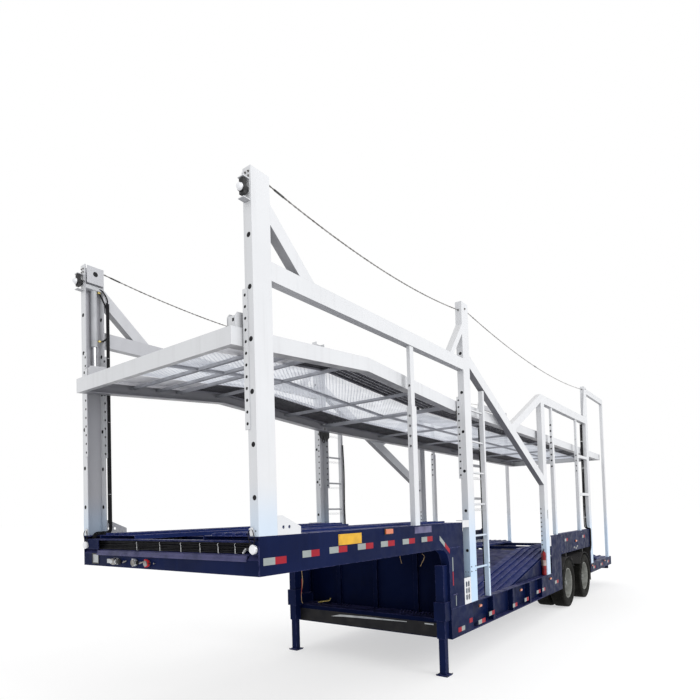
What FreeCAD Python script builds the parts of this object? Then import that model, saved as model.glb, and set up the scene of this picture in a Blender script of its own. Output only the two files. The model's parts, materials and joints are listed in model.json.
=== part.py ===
import FreeCAD, Part
import Sketcher
import math
import os
import re

# Double-deck car transporter semi-trailer standing on its landing legs.
# +X points forward, +Y to the left, +Z up. The origin is the middle of the
# trailer's footprint on the ground. Lengths are in millimetres.
# A "station" is the distance rearward from the front face of the front posts.

SIZES = (
    # name of the size, value
    ("overall_length", 12560),
    ("overall_width", 2500),
    ("deck_overhang", 120),
    ("web_plate", 10),
    ("flange_plate", 12),
    ("flange_width", 110),
    # gooseneck
    ("neck_top", 1785),
    ("neck_depth", 295),
    ("neck_length", 3530),
    ("front_beam_drop", 33),
    ("front_beam_depth", 100),
    ("front_beam_nose", 160),
    ("front_beam_bevel", 40),
    ("corner_plate_left", 90),
    ("corner_plate_right", 270),
    ("hose_notch_inset", 90),
    ("hose_notch_width", 50),
    ("hose_notch_depth", 14),
    ("neck_member_first", 700),
    ("neck_member_width", 80),
    ("column_depth", 390),
    ("haunch_radius", 200),
    ("coupler_length", 1400),
    ("coupler_setback", 250),
    ("kingpin_station", 900),
    ("kingpin_radius", 25.4),
    ("kingpin_collar_radius", 36.5),
    ("kingpin_foot_radius", 35.7),
    ("kingpin_collar_height", 35),
    ("kingpin_neck_height", 35),
    ("kingpin_foot_height", 14),
    ("kingpin_base_radius", 90),
    ("kingpin_base_height", 12),
    ("kingpin_clearance", 0.3),
    ("bulkhead_plate", 10),
    ("bulkhead_setback", 70),
    ("shelf_height", 640),
    ("shelf_beam_depth", 120),
    ("rib_width", 60),
    ("rib_depth", 40),
    # landing legs
    ("leg_tube", 105),
    ("leg_inner_tube", 80),
    ("leg_inset", 35),
    ("leg_overlap", 430),
    ("foot_size", 140),
    ("foot_thickness", 15),
    # lower deck
    ("lower_beam_bottom", 413),
    ("lower_beam_top", 766),
    ("lower_web_inset", 80),
    ("lower_panel_length", 620),
    ("bay_share", 0.27),
    ("stiffener_width", 60),
    ("floor_member_width", 80),
    ("floor_member_depth", 120),
    ("floor_member_inset", 400),
    ("member_plate", 6),
    ("track_depth", 40),
    ("track_plate", 6),
    ("track_rib_height", 20),
    ("track_rib_width", 34),
    ("track_rib_margin", 110),
    ("floor_track_inset", 130),
    ("floor_track_width", 620),
    ("ramp_length", 2700),
    ("ramp_run_on", 320),
    # raised part over the axles and tail
    ("hump_top", 1440),
    ("hump_beam_depth", 380),
    ("hump_upright_length", 620),
    ("hump_length", 3010),
    ("hump_member_inset", 100),
    ("hump_floor", 1170),
    ("hump_member_depth", 58),
    ("rear_upright_width", 60),
    ("descent_lead", 140),
    ("descent_length", 1350),
    ("tail_length", 2150),
    ("tail_top", 670),
    ("tail_bottom", 470),
    ("rail_gap", 147.5),
    ("rail_width", 100),
    ("rail_depth", 200),
    # posts and upper frame
    ("post_depth", 200),
    ("post_width", 85),
    ("post_plate", 8),
    ("front_post_top", 4554),
    ("mid_post_gap", 198),
    ("mid_post_rise", 86),
    ("side_post_setback", 291),
    ("pin_hole_inset", 35),
    ("pin_hole_radius", 20),
    ("front_hole_first", 285),
    ("front_hole_pitch", 393),
    ("mid_hole_first", 654),
    ("mid_hole_pitch", 508),
    ("rear_post_rise", 96),
    ("tail_post_setback", 348),
    ("tail_post_depth", 100),
    ("tail_bar_drop", 30),
    ("slim_width", 60),
    ("slim_depth", 100),
    ("neck_slim_station", 2340),
    ("hump_slim_offset", 354),
    ("slim_sleeve_gap", 657),
    ("slim_step", 10),
    ("slim_hole_radius", 14),
    ("slim_hole_pitch", 110),
    ("wheel_post_setback", 856),
    ("rail_top_front", 3890),
    ("rail_top_rear", 3950),
    ("rail_tube", 150),
    ("top_bar_tube", 120),
    ("diagonal_rise", 79),
    ("diagonal_fall", 1384),
    ("diagonal_depth", 165),
    ("brace_share", 0.68),
    ("brace_run", 525),
    ("brace_foot", 190),
    ("brace_head_share", 0.36),
    ("short_brace_run", 370),
    ("short_brace_foot", 100),
    ("short_brace_head_share", 0.29),
    ("strut_run", 1529),
    ("strut_width", 150),
    ("strip_width", 50),
    ("strip_plate", 8),
    ("strip_inset", 22),
    ("front_strip_bottom", 2576),
    ("mid_strip_bottom", 2344),
    ("strip_length", 1060),
    ("strip_hole_radius", 12),
    ("strip_hole_pitch", 88),
    ("rear_gusset_run", 190),
    ("rear_gusset_drop", 50),
    ("cross_rung_tube", 60),
    ("cross_rung_low", 740),
    ("cross_rung_high", 1550),
    ("bracket_depth", 90),
    ("bracket_drop", 65),
    ("step_plate_height", 324),
    ("step_hole_width", 50),
    ("step_hole_height", 75),
    ("gusset_length", 270),
    ("gusset_height", 150),
    ("gusset_nose", 60),
    ("gusset_hole_radius", 14),
    ("side_bracket_depth", 170),
    ("side_bracket_drop", 20),
    ("ladder_width", 402),
    ("ladder_rail", 50),
    ("ladder_gap", 22),
    ("rung_pitch", 415),
    ("rung_radius", 14),
    # upper decks
    ("deck_side_gap", 120),
    ("deck_flange", 100),
    ("deck_plate", 8),
    ("deck_beam_depth", 140),
    ("deck_end_beam", 60),
    ("deck_member_width", 60),
    ("deck_member_depth", 80),
    ("deck_member_pitch", 550),
    ("deck_member_plate", 5),
    ("deck_track_depth", 35),
    ("deck_track_plate", 5),
    ("deck_track_inner", 560),
    ("mesh_plate", 4),
    ("deck_front_top", 3340),
    ("kink_station", 1700),
    ("kink_top", 3490),
    ("front_deck_end_top", 3350),
    ("deck_gap", 60),
    ("rear_deck_start_top", 3360),
    ("rear_deck_setback", 210),
    ("rear_deck_end_top", 3250),
    ("hinge_height", 3275),
    ("hinge_setback", 30),
    ("hinge_radius", 20),
    ("hinge_clearance", 0.05),
    ("hinge_block_height", 100),
    ("hinge_pin_end_gap", 4),
    ("lift_pin_radius", 22),
    ("front_lift_pin_rise", 127),
    ("lug_width", 120),
    ("lug_plate", 12),
    ("lug_margin", 40),
    ("rear_lift_pin_drop", 50),
    ("lift_pin_end_gap", 12),
    # lift cylinders
    ("barrel_radius", 32),
    ("rod_radius", 20),
    ("rod_clearance", 0.3),
    ("rod_head_length", 120),
    ("rod_head_width", 50),
    ("rod_head_height", 24),
    ("link_length", 130),
    ("link_slot", 100),
    ("link_margin", 24),
    ("front_barrel_bottom", 3725),
    ("front_barrel_top", 4312),
    ("front_rod_length", 680),
    ("barrel_mount_height", 40),
    ("front_lift_station", 100),
    ("rear_barrel_top", 2120),
    ("rear_rod_length", 1290),
    ("rear_lift_setback", 140),
    ("front_rod_offset", 10),
    ("rear_rod_offset", 40),
    ("barrel_side_gap", 5),
    # running gear
    ("axle_setback", 1860),
    ("axle_spacing", 1310),
    ("tyre_radius", 460),
    ("tyre_width", 255),
    ("rim_radius", 286),
    ("twin_spacing", 300),
    ("wheel_inset", 7.5),
    ("disc_plate", 16),
    ("hand_hole_radius", 27),
    ("hand_hole_ring", 195),
    ("hub_radius", 130),
    ("hub_length", 360),
    ("drum_radius", 200),
    ("spindle_radius", 45),
    ("bearing_clearance", 0.05),
    ("axle_beam", 127),
    ("spindle_inset", 20),
    ("axle_beam_gap", 8),
    ("spring_width", 80),
    ("spring_half_length", 500),
    ("spring_leaf", 60),
    ("spring_seat", 60),
    ("spring_rise", 90),
    ("hanger_length", 90),
    ("fender_radius", 505),
    ("fender_plate", 4),
    ("fender_overlap", 37.5),
    ("fender_stay_width", 40),
    ("fender_stay_depth", 60),
    ("flap_plate", 6),
    ("flap_bottom", 320),
    # fittings
    ("underrun_tube", 100),
    ("underrun_plate", 6),
    ("underrun_inset", 60),
    ("coupling_height", 55),
    ("coupling_reach", 45),
    ("lamp_bracket_height", 165),
    ("lamp_bracket_drop", 105),
    ("lamp_bracket_reach", 70),
    ("lamp_bracket_width", 60),
    ("lamp_bracket_plate", 6),
    ("post_lamp_radius", 27),
    ("post_lamp_reach", 105),
    ("corner_lamp_radius", 34),
    ("corner_lamp_reach", 35),
    ("corner_lamp_inset", 50),
    ("corner_lamp_drop", 95),
    ("extinguisher_radius", 38),
    ("extinguisher_height", 370),
    ("extinguisher_neck_radius", 18),
    ("extinguisher_neck_height", 45),
    ("wire_radius", 7),
    ("wire_inset", 43),
    ("wire_end_gap", 1.2),
    ("front_wire_drop", 24),
    ("front_wire_sag", 110),
    ("rear_wire_drop", 55),
    ("rear_wire_sag", 160),
    ("hose_radius", 6),
    ("hose_gap", 0.3),
    ("hose_inset", 108),
    ("hose_top", 4200),
    ("hose_notch_station", 37),
    ("hose_low_height", 1660),
    ("hose_bend", 30),
    ("hose_corner_bend", 25),
    ("hose_end", 1050),
)
NAMES = {name for name, value in SIZES}

doc = FreeCAD.newDocument("car_transporter")
sheet = doc.addObject("Spreadsheet::Sheet", "Dims")
for row, (name, value) in enumerate(SIZES, start=1):
    sheet.set(f"A{row}", name)
    sheet.set(f"B{row}", str(value))
    sheet.setAlias(f"B{row}", name)
doc.recompute()


# ---------------------------------------------------------------- helpers

def cells(text):
    """Turn the sizes' names in a formula into references to the sheet."""
    return re.sub(r"[a-z][a-z0-9_]+",
                  lambda word: "Dims." + word.group(0) if word.group(0) in NAMES else word.group(0),
                  str(text))


def number(text):
    """The present value of a formula."""
    return float(sheet.evalExpression(cells(text)))


def bind(item, target, formula):
    item.setExpression(target, cells(formula))


def at(station):
    """The X of a station."""
    return f"(overall_length / 2 - deck_overhang - ({station}))"


def spread(first, last, count):
    """Formulas of evenly spaced values from the first to the last."""
    return [f"(({first}) + {index} * (({last}) - ({first})) / {count - 1})" for index in range(count)]


SIDE = "(overall_width / 2)"
TAIL_END = "(overall_length - deck_overhang)"
HUMP_END = f"({TAIL_END} - tail_length)"
LOWER_END = f"({HUMP_END} - hump_length)"
RAMP_HEAD = f"({LOWER_END} + ramp_run_on)"
RAMP_FOOT = f"({RAMP_HEAD} - ramp_length)"
DESCENT = f"({HUMP_END} - descent_lead)"
MID_POST = "(neck_length + mid_post_gap)"
MID_POST_END = f"({MID_POST} + post_depth)"
SIDE_POST = f"({LOWER_END} - side_post_setback)"
TAIL_POST = f"({TAIL_END} - tail_post_setback)"
PANEL = "(neck_length - bulkhead_setback)"
MID_POST_TOP = "(front_post_top + mid_post_rise)"
REAR_POST_TOP = "(front_post_top + rear_post_rise)"
TAIL_POST_TOP = f"({REAR_POST_TOP} - tail_bar_drop)"


def box(name, stations, across, heights):
    """A block between two stations, two values of Y and two heights."""
    item = doc.addObject("Part::Box", name)
    front, rear = stations
    ends = (("Length", "x", at(rear), at(front)),
            ("Width", "y", across[0], across[1]),
            ("Height", "z", heights[0], heights[1]))
    for size, axis, low, high in ends:
        bind(item, size, f"({high}) - ({low})")
        bind(item, f"Placement.Base.{axis}", low)
    return item


TURNS = {"x": FreeCAD.Rotation(FreeCAD.Vector(0, 1, 0), 90),
         "y": FreeCAD.Rotation(FreeCAD.Vector(1, 0, 0), -90),
         "z": FreeCAD.Rotation()}


def round_bar(name, axis, place, radius, length):
    """A cylinder along an axis, from the middle of its low end."""
    item = doc.addObject("Part::Cylinder", name)
    item.Placement = FreeCAD.Placement(FreeCAD.Vector(), TURNS[axis])
    bind(item, "Radius", radius)
    bind(item, "Height", length)
    for letter, formula in zip("xyz", place):
        bind(item, f"Placement.Base.{letter}", formula)
    return item


def outline(name, plane, corners):
    """A closed sketch whose corners are each held by two bound distances."""
    sketch = doc.addObject("Sketcher::SketchObject", name)
    turns = {"XZ": FreeCAD.Rotation(FreeCAD.Vector(1, 0, 0), 90),
             "YZ": FreeCAD.Rotation(FreeCAD.Vector(1, 1, 1), 120),
             "XY": FreeCAD.Rotation()}
    sketch.Placement = FreeCAD.Placement(FreeCAD.Vector(), turns[plane])
    spots = [FreeCAD.Vector(number(a), number(b), 0) for a, b in corners]
    count = len(spots)
    for index in range(count):
        sketch.addGeometry(Part.LineSegment(spots[index], spots[(index + 1) % count]), False)
    for index in range(count):
        sketch.addConstraint(Sketcher.Constraint("Coincident", index, 2, (index + 1) % count, 1))
    for index, (a, b) in enumerate(corners):
        for kind, formula, value in (("DistanceX", a, spots[index].x), ("DistanceY", b, spots[index].y)):
            mark = sketch.addConstraint(Sketcher.Constraint(kind, -1, 1, index, 1, value))
            bind(sketch, f"Constraints[{mark}]", formula)
    return sketch


WAYS = {"XZ": ("y", FreeCAD.Vector(0, 1, 0)),
        "YZ": ("x", FreeCAD.Vector(1, 0, 0)),
        "XY": ("z", FreeCAD.Vector(0, 0, 1))}


def prism(name, plane, corners, ends):
    """An outline drawn in a plane and pushed out between two ends."""
    sketch = outline(name + "_outline", plane, corners)
    axis, way = WAYS[plane]
    bind(sketch, f"Placement.Base.{axis}", ends[0])
    item = doc.addObject("Part::Extrusion", name)
    item.Base = sketch
    item.DirMode = "Custom"
    item.Dir = way
    item.Solid = True
    bind(item, "LengthFwd", f"({ends[1]}) - ({ends[0]})")
    return item


def strip(name, line, top, bottom, across):
    """A band that follows a line of (station, height) points, between two offsets above it."""
    upper = [(at(station), f"({height}) + ({top})") for station, height in line]
    lower = [(at(station), f"({height}) + ({bottom})") for station, height in reversed(line)]
    return prism(name, "XZ", upper + lower, across)


def fuse(name, items):
    """Pieces welded into one solid."""
    if len(items) == 1:
        return items[0]
    item = doc.addObject("Part::MultiFuse", name)
    item.Shapes = items
    item.Refine = True
    return item


def cut(name, base, tool):
    item = doc.addObject("Part::Cut", name)
    item.Base = base
    item.Tool = tool
    item.Refine = True
    return item


def common(name, first, second):
    """What two pieces share."""
    item = doc.addObject("Part::MultiCommon", name)
    item.Shapes = [first, second]
    item.Refine = True
    return item


def mirror(name, source):
    """The right-hand twin of a left-hand piece."""
    item = doc.addObject("Part::Mirroring", name)
    item.Source = source
    item.Normal = FreeCAD.Vector(0, 1, 0)
    return item


def pin_holes(name, station, reach, across, heights, radius):
    """Bars that drill a row of holes along X, from a station rearward."""
    return [round_bar(f"{name}_drill_{index}", "x", (at(f"{station} + {reach} + 1"), across, height),
                      radius, f"{reach} + 2") for index, height in enumerate(heights)]


def drilled(name, base, tools):
    """A piece with the holes that the tools leave."""
    return cut(name, base, fuse(name + "_drills", tools))


def rising(first, pitch, count):
    """Formulas that start at a height and go up by a pitch."""
    return [f"({first} + {index} * ({pitch}))" for index in range(count)]


def elbow(name, centre, start, end, bend, radius):
    """A quarter bend of a round bar, from one direction off its centre to another."""
    item = doc.addObject("Part::Torus", name)
    start, end = FreeCAD.Vector(*start), FreeCAD.Vector(*end)
    turn = FreeCAD.Rotation(start, end, start.cross(end), "XYZ")
    item.Placement = FreeCAD.Placement(FreeCAD.Vector(), turn)
    item.Angle3 = 90
    bind(item, "Radius1", bend)
    bind(item, "Radius2", radius)
    for letter, formula in zip("xyz", centre):
        bind(item, f"Placement.Base.{letter}", formula)
    return item


NODES = []


def node(label, items):
    """Register a sub-part: one solid, or like solids that do not touch."""
    if len(items) == 1:
        item = items[0]
    else:
        item = doc.addObject("Part::Compound", label + "_set")
        item.Links = items
    item.Label = label
    NODES.append(item)
    return item


def both_sides(label, items):
    """A sub-part with left-hand pieces and their right-hand twins."""
    twins = [mirror(f"{label}_twin_{index}", item) for index, item in enumerate(items)]
    return node(label, items + twins)


def channel_post(name, station, depth, bottom, top, width="post_width"):
    """An upright channel, open towards the middle of the trailer."""
    inner = f"{SIDE} - {width}"
    back = f"{SIDE} - post_plate"
    corners = [(at(station), inner), (at(station), SIDE),
               (at(f"{station} + {depth}"), SIDE), (at(f"{station} + {depth}"), inner),
               (at(f"{station} + {depth} - post_plate"), inner),
               (at(f"{station} + {depth} - post_plate"), back),
               (at(f"{station} + post_plate"), back), (at(f"{station} + post_plate"), inner)]
    return prism(name, "XY", corners, (bottom, top))


def square_post(name, station, depth, bottom, top):
    return box(name, (station, f"{station} + {depth}"), (f"{SIDE} - slim_width", SIDE), (bottom, top))


def sleeve_post(name, station, foot, top):
    """A slim post whose upper tube slides in the lower one, with holes for its pin."""
    joint = f"({top} - slim_sleeve_gap)"
    lower = square_post(f"{name}_sleeve", station, "slim_depth", foot, joint)
    upper = box(f"{name}_inner", (f"{station} + slim_step", f"{station} + slim_depth - slim_step"),
                (f"{SIDE} - slim_width + slim_step", f"{SIDE} - slim_step"), (joint, top))
    heights = rising(f"{joint} - 4 * slim_hole_pitch", "slim_hole_pitch", 4)
    heights.append(f"({joint} + 2 * slim_hole_pitch)")
    tools = pin_holes(name, station, "slim_depth", f"{SIDE} - slim_width / 2", heights, "slim_hole_radius")
    return drilled(f"{name}_drilled", fuse(f"{name}_tubes", [lower, upper]), tools)


# ---------------------------------------------------------------- gooseneck

NECK_BOTTOM = "(neck_top - neck_depth)"
COLUMN_FRONT = "(neck_length - column_depth)"
WEB_IN = f"({SIDE} - web_plate)"
FLANGE_IN = f"({SIDE} - flange_width)"


def make_neck():
    web = box("neck_web", (0, "neck_length"), (WEB_IN, SIDE), (NECK_BOTTOM, "neck_top"))
    top = box("neck_top_flange", (0, "neck_length"), (FLANGE_IN, WEB_IN),
              ("neck_top - flange_plate", "neck_top"))
    low = box("neck_low_flange", ("front_beam_depth", "neck_length"), (FLANGE_IN, WEB_IN),
              (NECK_BOTTOM, f"{NECK_BOTTOM} + flange_plate"))
    notch_stations = ("web_plate", "front_beam_depth - web_plate")
    notch = box("flange_notch", notch_stations, (f"{FLANGE_IN} - 1", f"{FLANGE_IN} + hose_notch_depth"),
                ("neck_top - flange_plate - 1", "neck_top + 1"))
    both_sides("neck_side_beams", [cut("neck_side", fuse("neck_side_blank", [web, top, low]), notch)])

    top_of_beam = "(neck_top - front_beam_drop)"
    nose_top = f"({NECK_BOTTOM} + front_beam_nose)"
    corners = [(at(0), NECK_BOTTOM), (at(0), f"{nose_top} - front_beam_bevel"),
               (at("front_beam_bevel"), nose_top), (at("front_beam_depth - web_plate"), nose_top),
               (at("front_beam_depth - web_plate"), f"{top_of_beam} - flange_plate"),
               (at(0), f"{top_of_beam} - flange_plate"), (at(0), top_of_beam),
               (at("front_beam_depth"), top_of_beam), (at("front_beam_depth"), NECK_BOTTOM)]
    profile = prism("front_beam_profile", "XZ", corners, (f"-{WEB_IN}", WEB_IN))
    recess = (nose_top, f"{top_of_beam} - flange_plate")
    ends = (0, "web_plate")
    plates = [box("corner_plate_near", ends, (f"{SIDE} - corner_plate_left", WEB_IN), recess),
              box("corner_plate_far", ends, (f"-{WEB_IN}", f"-({SIDE} - corner_plate_right)"), recess)]
    notch_edge = f"-({SIDE} - hose_notch_inset)"
    notch = box("hose_notch", notch_stations,
                (notch_edge, f"{notch_edge} + hose_notch_width"),
                (f"{top_of_beam} - flange_plate - 1", f"{top_of_beam} + 1"))
    node("front_beam", [cut("front_beam_set", fuse("front_beam_blank", [profile] + plates), notch)])

    neck_line = [("front_beam_depth", "neck_top"), ("neck_length", "neck_top")]
    last = "neck_length - flange_plate - neck_member_width"
    depth = "neck_depth - track_depth - flange_plate"
    members = [cross_member(f"neck_member_{index}", neck_line, 0, start, "neck_member_width",
                            "-track_depth", depth, (f"-{WEB_IN}", WEB_IN))
               for index, start in enumerate(spread("neck_member_first", last, 5))]
    node("neck_cross_members", members)
    wheel_tracks("neck_track", neck_line)

    plate = box("coupler_blank", ("coupler_setback", "coupler_setback + coupler_length"),
                (f"-{FLANGE_IN}", FLANGE_IN), (NECK_BOTTOM, f"{NECK_BOTTOM} + flange_plate"))
    hole = round_bar("kingpin_hole", "z", (at("kingpin_station"), "0", f"{NECK_BOTTOM} - 1"),
                     "kingpin_collar_radius + kingpin_clearance", "flange_plate + 2")
    node("coupler_plate", [cut("coupler", plate, hole)])
    level = f"({NECK_BOTTOM} + flange_plate)"
    pieces = [round_bar("kingpin_base", "z", (at("kingpin_station"), "0", level),
                        "kingpin_base_radius", "kingpin_base_height")]
    rows = (
        # name, radius, height
        ("collar", "kingpin_collar_radius", "flange_plate + kingpin_collar_height"),
        ("neck", "kingpin_radius", "kingpin_neck_height"),
        ("foot", "kingpin_foot_radius", "kingpin_foot_height"),
    )
    for part_name, radius, height in rows:
        level = f"({level} - ({height}))"
        pieces.append(round_bar(f"kingpin_{part_name}", "z", (at("kingpin_station"), "0", level),
                                radius, height))
    node("kingpin", [fuse("kingpin_turned", pieces)])


def make_columns():
    """The uprights behind the legs, with a flange that curves into the neck's underside."""
    inner_radius = "(haunch_radius - flange_plate)"
    flange_front = f"({COLUMN_FRONT} - flange_plate)"
    arc_station = f"({COLUMN_FRONT} - haunch_radius)"
    arc_height = f"({NECK_BOTTOM} - haunch_radius)"
    front = box("column_front_flange", (flange_front, COLUMN_FRONT), (FLANGE_IN, WEB_IN),
                ("lower_beam_top", arc_height))
    rear = box("column_rear_flange", ("neck_length - flange_plate", "neck_length"),
               (FLANGE_IN, WEB_IN), ("lower_beam_top", NECK_BOTTOM))
    web = box("column_web", (flange_front, "neck_length"), (WEB_IN, SIDE), ("lower_beam_top", arc_height))
    upper_web = box("column_upper_web", (arc_station, "neck_length"), (WEB_IN, SIDE),
                    (arc_height, NECK_BOTTOM))
    corner = box("haunch_corner", (arc_station, COLUMN_FRONT), (FLANGE_IN, WEB_IN), (arc_height, NECK_BOTTOM))
    place = (at(arc_station), f"{FLANGE_IN} - 1", arc_height)
    outside = round_bar("haunch_outside", "y", place, "haunch_radius", "flange_width + 2")
    inside = round_bar("haunch_inside", "y", place, inner_radius, "flange_width + 2")
    curve = cut("haunch_flange", common("haunch_quarter", corner, outside), inside)
    plate = cut("haunch_web", upper_web, inside)
    both_sides("drop_columns", [fuse("column", [web, plate, front, rear, curve])])


def make_bulkhead():
    beam = box("shelf_beam", (COLUMN_FRONT, f"{COLUMN_FRONT} + shelf_beam_depth"),
               (f"-{FLANGE_IN}", FLANGE_IN), ("lower_beam_bottom", "shelf_height"))
    shelf = box("shelf", (f"{COLUMN_FRONT} + shelf_beam_depth", PANEL),
                (f"-{FLANGE_IN}", FLANGE_IN), ("shelf_height - flange_plate", "shelf_height"))
    panel = box("bulkhead_panel", (PANEL, f"{PANEL} + bulkhead_plate"),
                (f"-{FLANGE_IN}", FLANGE_IN), ("lower_beam_bottom", f"{NECK_BOTTOM} + flange_plate"))
    pieces = [beam, shelf, panel]
    for index, middle in enumerate(("0", "-(overall_width / 4)", "overall_width / 4")):
        pieces.append(box(f"bulkhead_rib_{index}", (f"{PANEL} - rib_depth", PANEL),
                          (f"{middle} - rib_width / 2", f"{middle} + rib_width / 2"),
                          ("shelf_height", f"{NECK_BOTTOM} + flange_plate")))
    node("neck_bulkhead", [fuse("bulkhead", pieces)])


def make_legs():
    outer = f"({SIDE} - leg_inset)"
    middle = f"({outer} - leg_tube / 2)"
    station = f"({COLUMN_FRONT} - flange_plate - leg_tube / 2)"
    tube = box("leg_outer", (f"{station} - leg_tube / 2", f"{station} + leg_tube / 2"),
               (f"{middle} - leg_tube / 2", f"{middle} + leg_tube / 2"),
               ("leg_overlap", f"{NECK_BOTTOM} - haunch_radius"))
    inner = box("leg_inner", (f"{station} - leg_inner_tube / 2", f"{station} + leg_inner_tube / 2"),
                (f"{middle} - leg_inner_tube / 2", f"{middle} + leg_inner_tube / 2"),
                ("foot_thickness", "leg_overlap"))
    foot = box("leg_foot", (f"{station} - foot_size / 2", f"{station} + foot_size / 2"),
               (f"{middle} - foot_size / 2", f"{middle} + foot_size / 2"), ("0", "foot_thickness"))
    both_sides("landing_legs", [fuse("leg", [tube, inner, foot])])


# ---------------------------------------------------------------- lower deck

LOWER_WEB = f"({SIDE} - lower_web_inset)"
FLOOR_LINE = [(f"{PANEL} + bulkhead_plate", "shelf_height"),
              (RAMP_FOOT, "shelf_height"),
              (RAMP_HEAD, "hump_floor"),
              (DESCENT, "hump_floor"),
              (f"{DESCENT} + descent_length", "tail_top"),
              (TAIL_END, "tail_top")]


def height_on(line, span, station):
    """The height of a line of points at a station within one of its spans."""
    (start, low), (end, high) = line[span], line[span + 1]
    return f"(({low}) + (({high}) - ({low})) * (({station}) - ({start})) / (({end}) - ({start})))"


def cross_member(name, line, span, station, width, top, depth, across, plate="member_plate"):
    """A folded channel, open below, whose top lies parallel to the line that it carries."""
    spots = (station, f"{station} + {plate}", f"{station} + {width} - {plate}", f"{station} + {width}")
    levels = [f"({height_on(line, span, spot)} + ({top}))" for spot in spots]
    low = [f"({level} - ({depth}))" for level in levels]
    under = [f"({level} - {plate})" for level in levels]
    front, front_in, rear_in, rear = (at(spot) for spot in spots)
    corners = [(front, levels[0]), (rear, levels[3]), (rear, low[3]), (rear_in, low[2]),
               (rear_in, under[2]), (front_in, under[1]), (front_in, low[1]), (front, low[0])]
    return prism(name, "XZ", corners, across)


def make_lower_frame():
    ends = (COLUMN_FRONT, LOWER_END)
    web = box("lower_web", ends, (f"{LOWER_WEB} - web_plate", LOWER_WEB),
              ("lower_beam_bottom", "lower_beam_top"))
    top = box("lower_top_flange", ends, (LOWER_WEB, SIDE),
              ("lower_beam_top - flange_plate", "lower_beam_top"))
    low = box("lower_low_flange", ends, (LOWER_WEB, SIDE),
              ("lower_beam_bottom", "lower_beam_bottom + flange_plate"))
    pieces = [web, top, low]
    between = ("lower_beam_bottom + flange_plate", "lower_beam_top - flange_plate")
    panels = (("front", COLUMN_FRONT, f"{COLUMN_FRONT} + lower_panel_length"),
              ("rear", f"{LOWER_END} - lower_panel_length", LOWER_END))
    for part_name, start, end in panels:
        pieces.append(box(f"lower_panel_{part_name}", (start, end), (LOWER_WEB, SIDE), between))
    bay = f"(({LOWER_END} - {COLUMN_FRONT} - 2 * lower_panel_length) * bay_share)"
    for index in range(1, 4):
        start = f"({COLUMN_FRONT} + lower_panel_length + ({index} - 1 / 8) * {bay})"
        pieces.append(box(f"lower_stiffener_{index}", (start, f"{start} + stiffener_width"),
                          (LOWER_WEB, SIDE), between))
    rise = f"({RAMP_FOOT} + ramp_length * (lower_beam_top - shelf_height) / (hump_floor - shelf_height))"
    pieces.append(prism("ramp_side", "XZ", [(at(rise), "lower_beam_top"), (at(LOWER_END), "lower_beam_top"),
                                            (at(LOWER_END), height_on(FLOOR_LINE, 1, LOWER_END))],
                        (f"{LOWER_WEB} - web_plate", f"{SIDE} - post_width")))
    both_sides("lower_side_beams", [fuse("lower_side", pieces)])


def make_lower_members():
    inner = f"({LOWER_WEB} - web_plate)"
    flat = [f"({PANEL} + ({RAMP_FOOT} - {PANEL}) * {share} / 4)" for share in (1, 3)]
    last = f"{LOWER_END} - floor_member_inset - floor_member_width"
    ramp = spread(f"{RAMP_FOOT} + floor_member_inset", last, 3)
    places = [(0, station) for station in flat] + [(1, station) for station in ramp]
    return [cross_member(f"floor_member_{index}", FLOOR_LINE, span, station, "floor_member_width",
                         "-track_depth", "floor_member_depth", (f"-{inner}", inner))
            for index, (span, station) in enumerate(places)]


def wheel_tracks(name, line):
    """Two wheel tracks in folded sheet with long ribs, along a line of points."""
    outer = f"({SIDE} - floor_track_inset)"
    inner = f"({outer} - floor_track_width)"
    pieces = [strip(f"{name}_plate", line, "0", "-track_plate", (inner, outer))]
    for part_name, start in (("inner", inner), ("outer", f"({outer} - track_plate)")):
        pieces.append(strip(f"{name}_{part_name}_fold", line, "0", "-track_depth",
                            (start, f"{start} + track_plate")))
    first = f"{inner} + track_rib_margin"
    last = f"{outer} - track_rib_margin - track_rib_width"
    for index, start in enumerate(spread(first, last, 4)):
        pieces.append(strip(f"{name}_rib_{index}", line, "track_rib_height", "0",
                            (start, f"{start} + track_rib_width")))
    both_sides(f"{name}s", [fuse(name, pieces)])


def make_floor_sheet():
    """The plain sheet between the tracks of the flat floor and the ramp."""
    edge = f"({SIDE} - floor_track_inset - floor_track_width)"
    node("floor_sheet", [strip("floor_sheet_plate", FLOOR_LINE[:3], "-track_depth + track_plate",
                               "-track_depth", (f"-{edge}", edge))])


# ---------------------------------------------------------------- raised part and tail

HUMP_BOTTOM = "(hump_top - hump_beam_depth)"
RAIL_BOTTOM = "(hump_floor - track_depth - hump_member_depth - rail_depth)"
WHEEL_OUT = f"({SIDE} - wheel_inset - tyre_width / 2)"
WHEEL_IN = f"({WHEEL_OUT} - twin_spacing)"
TYRE_IN = f"({WHEEL_IN} - tyre_width / 2)"
RAIL_OUT = f"({TYRE_IN} - rail_gap)"


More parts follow.
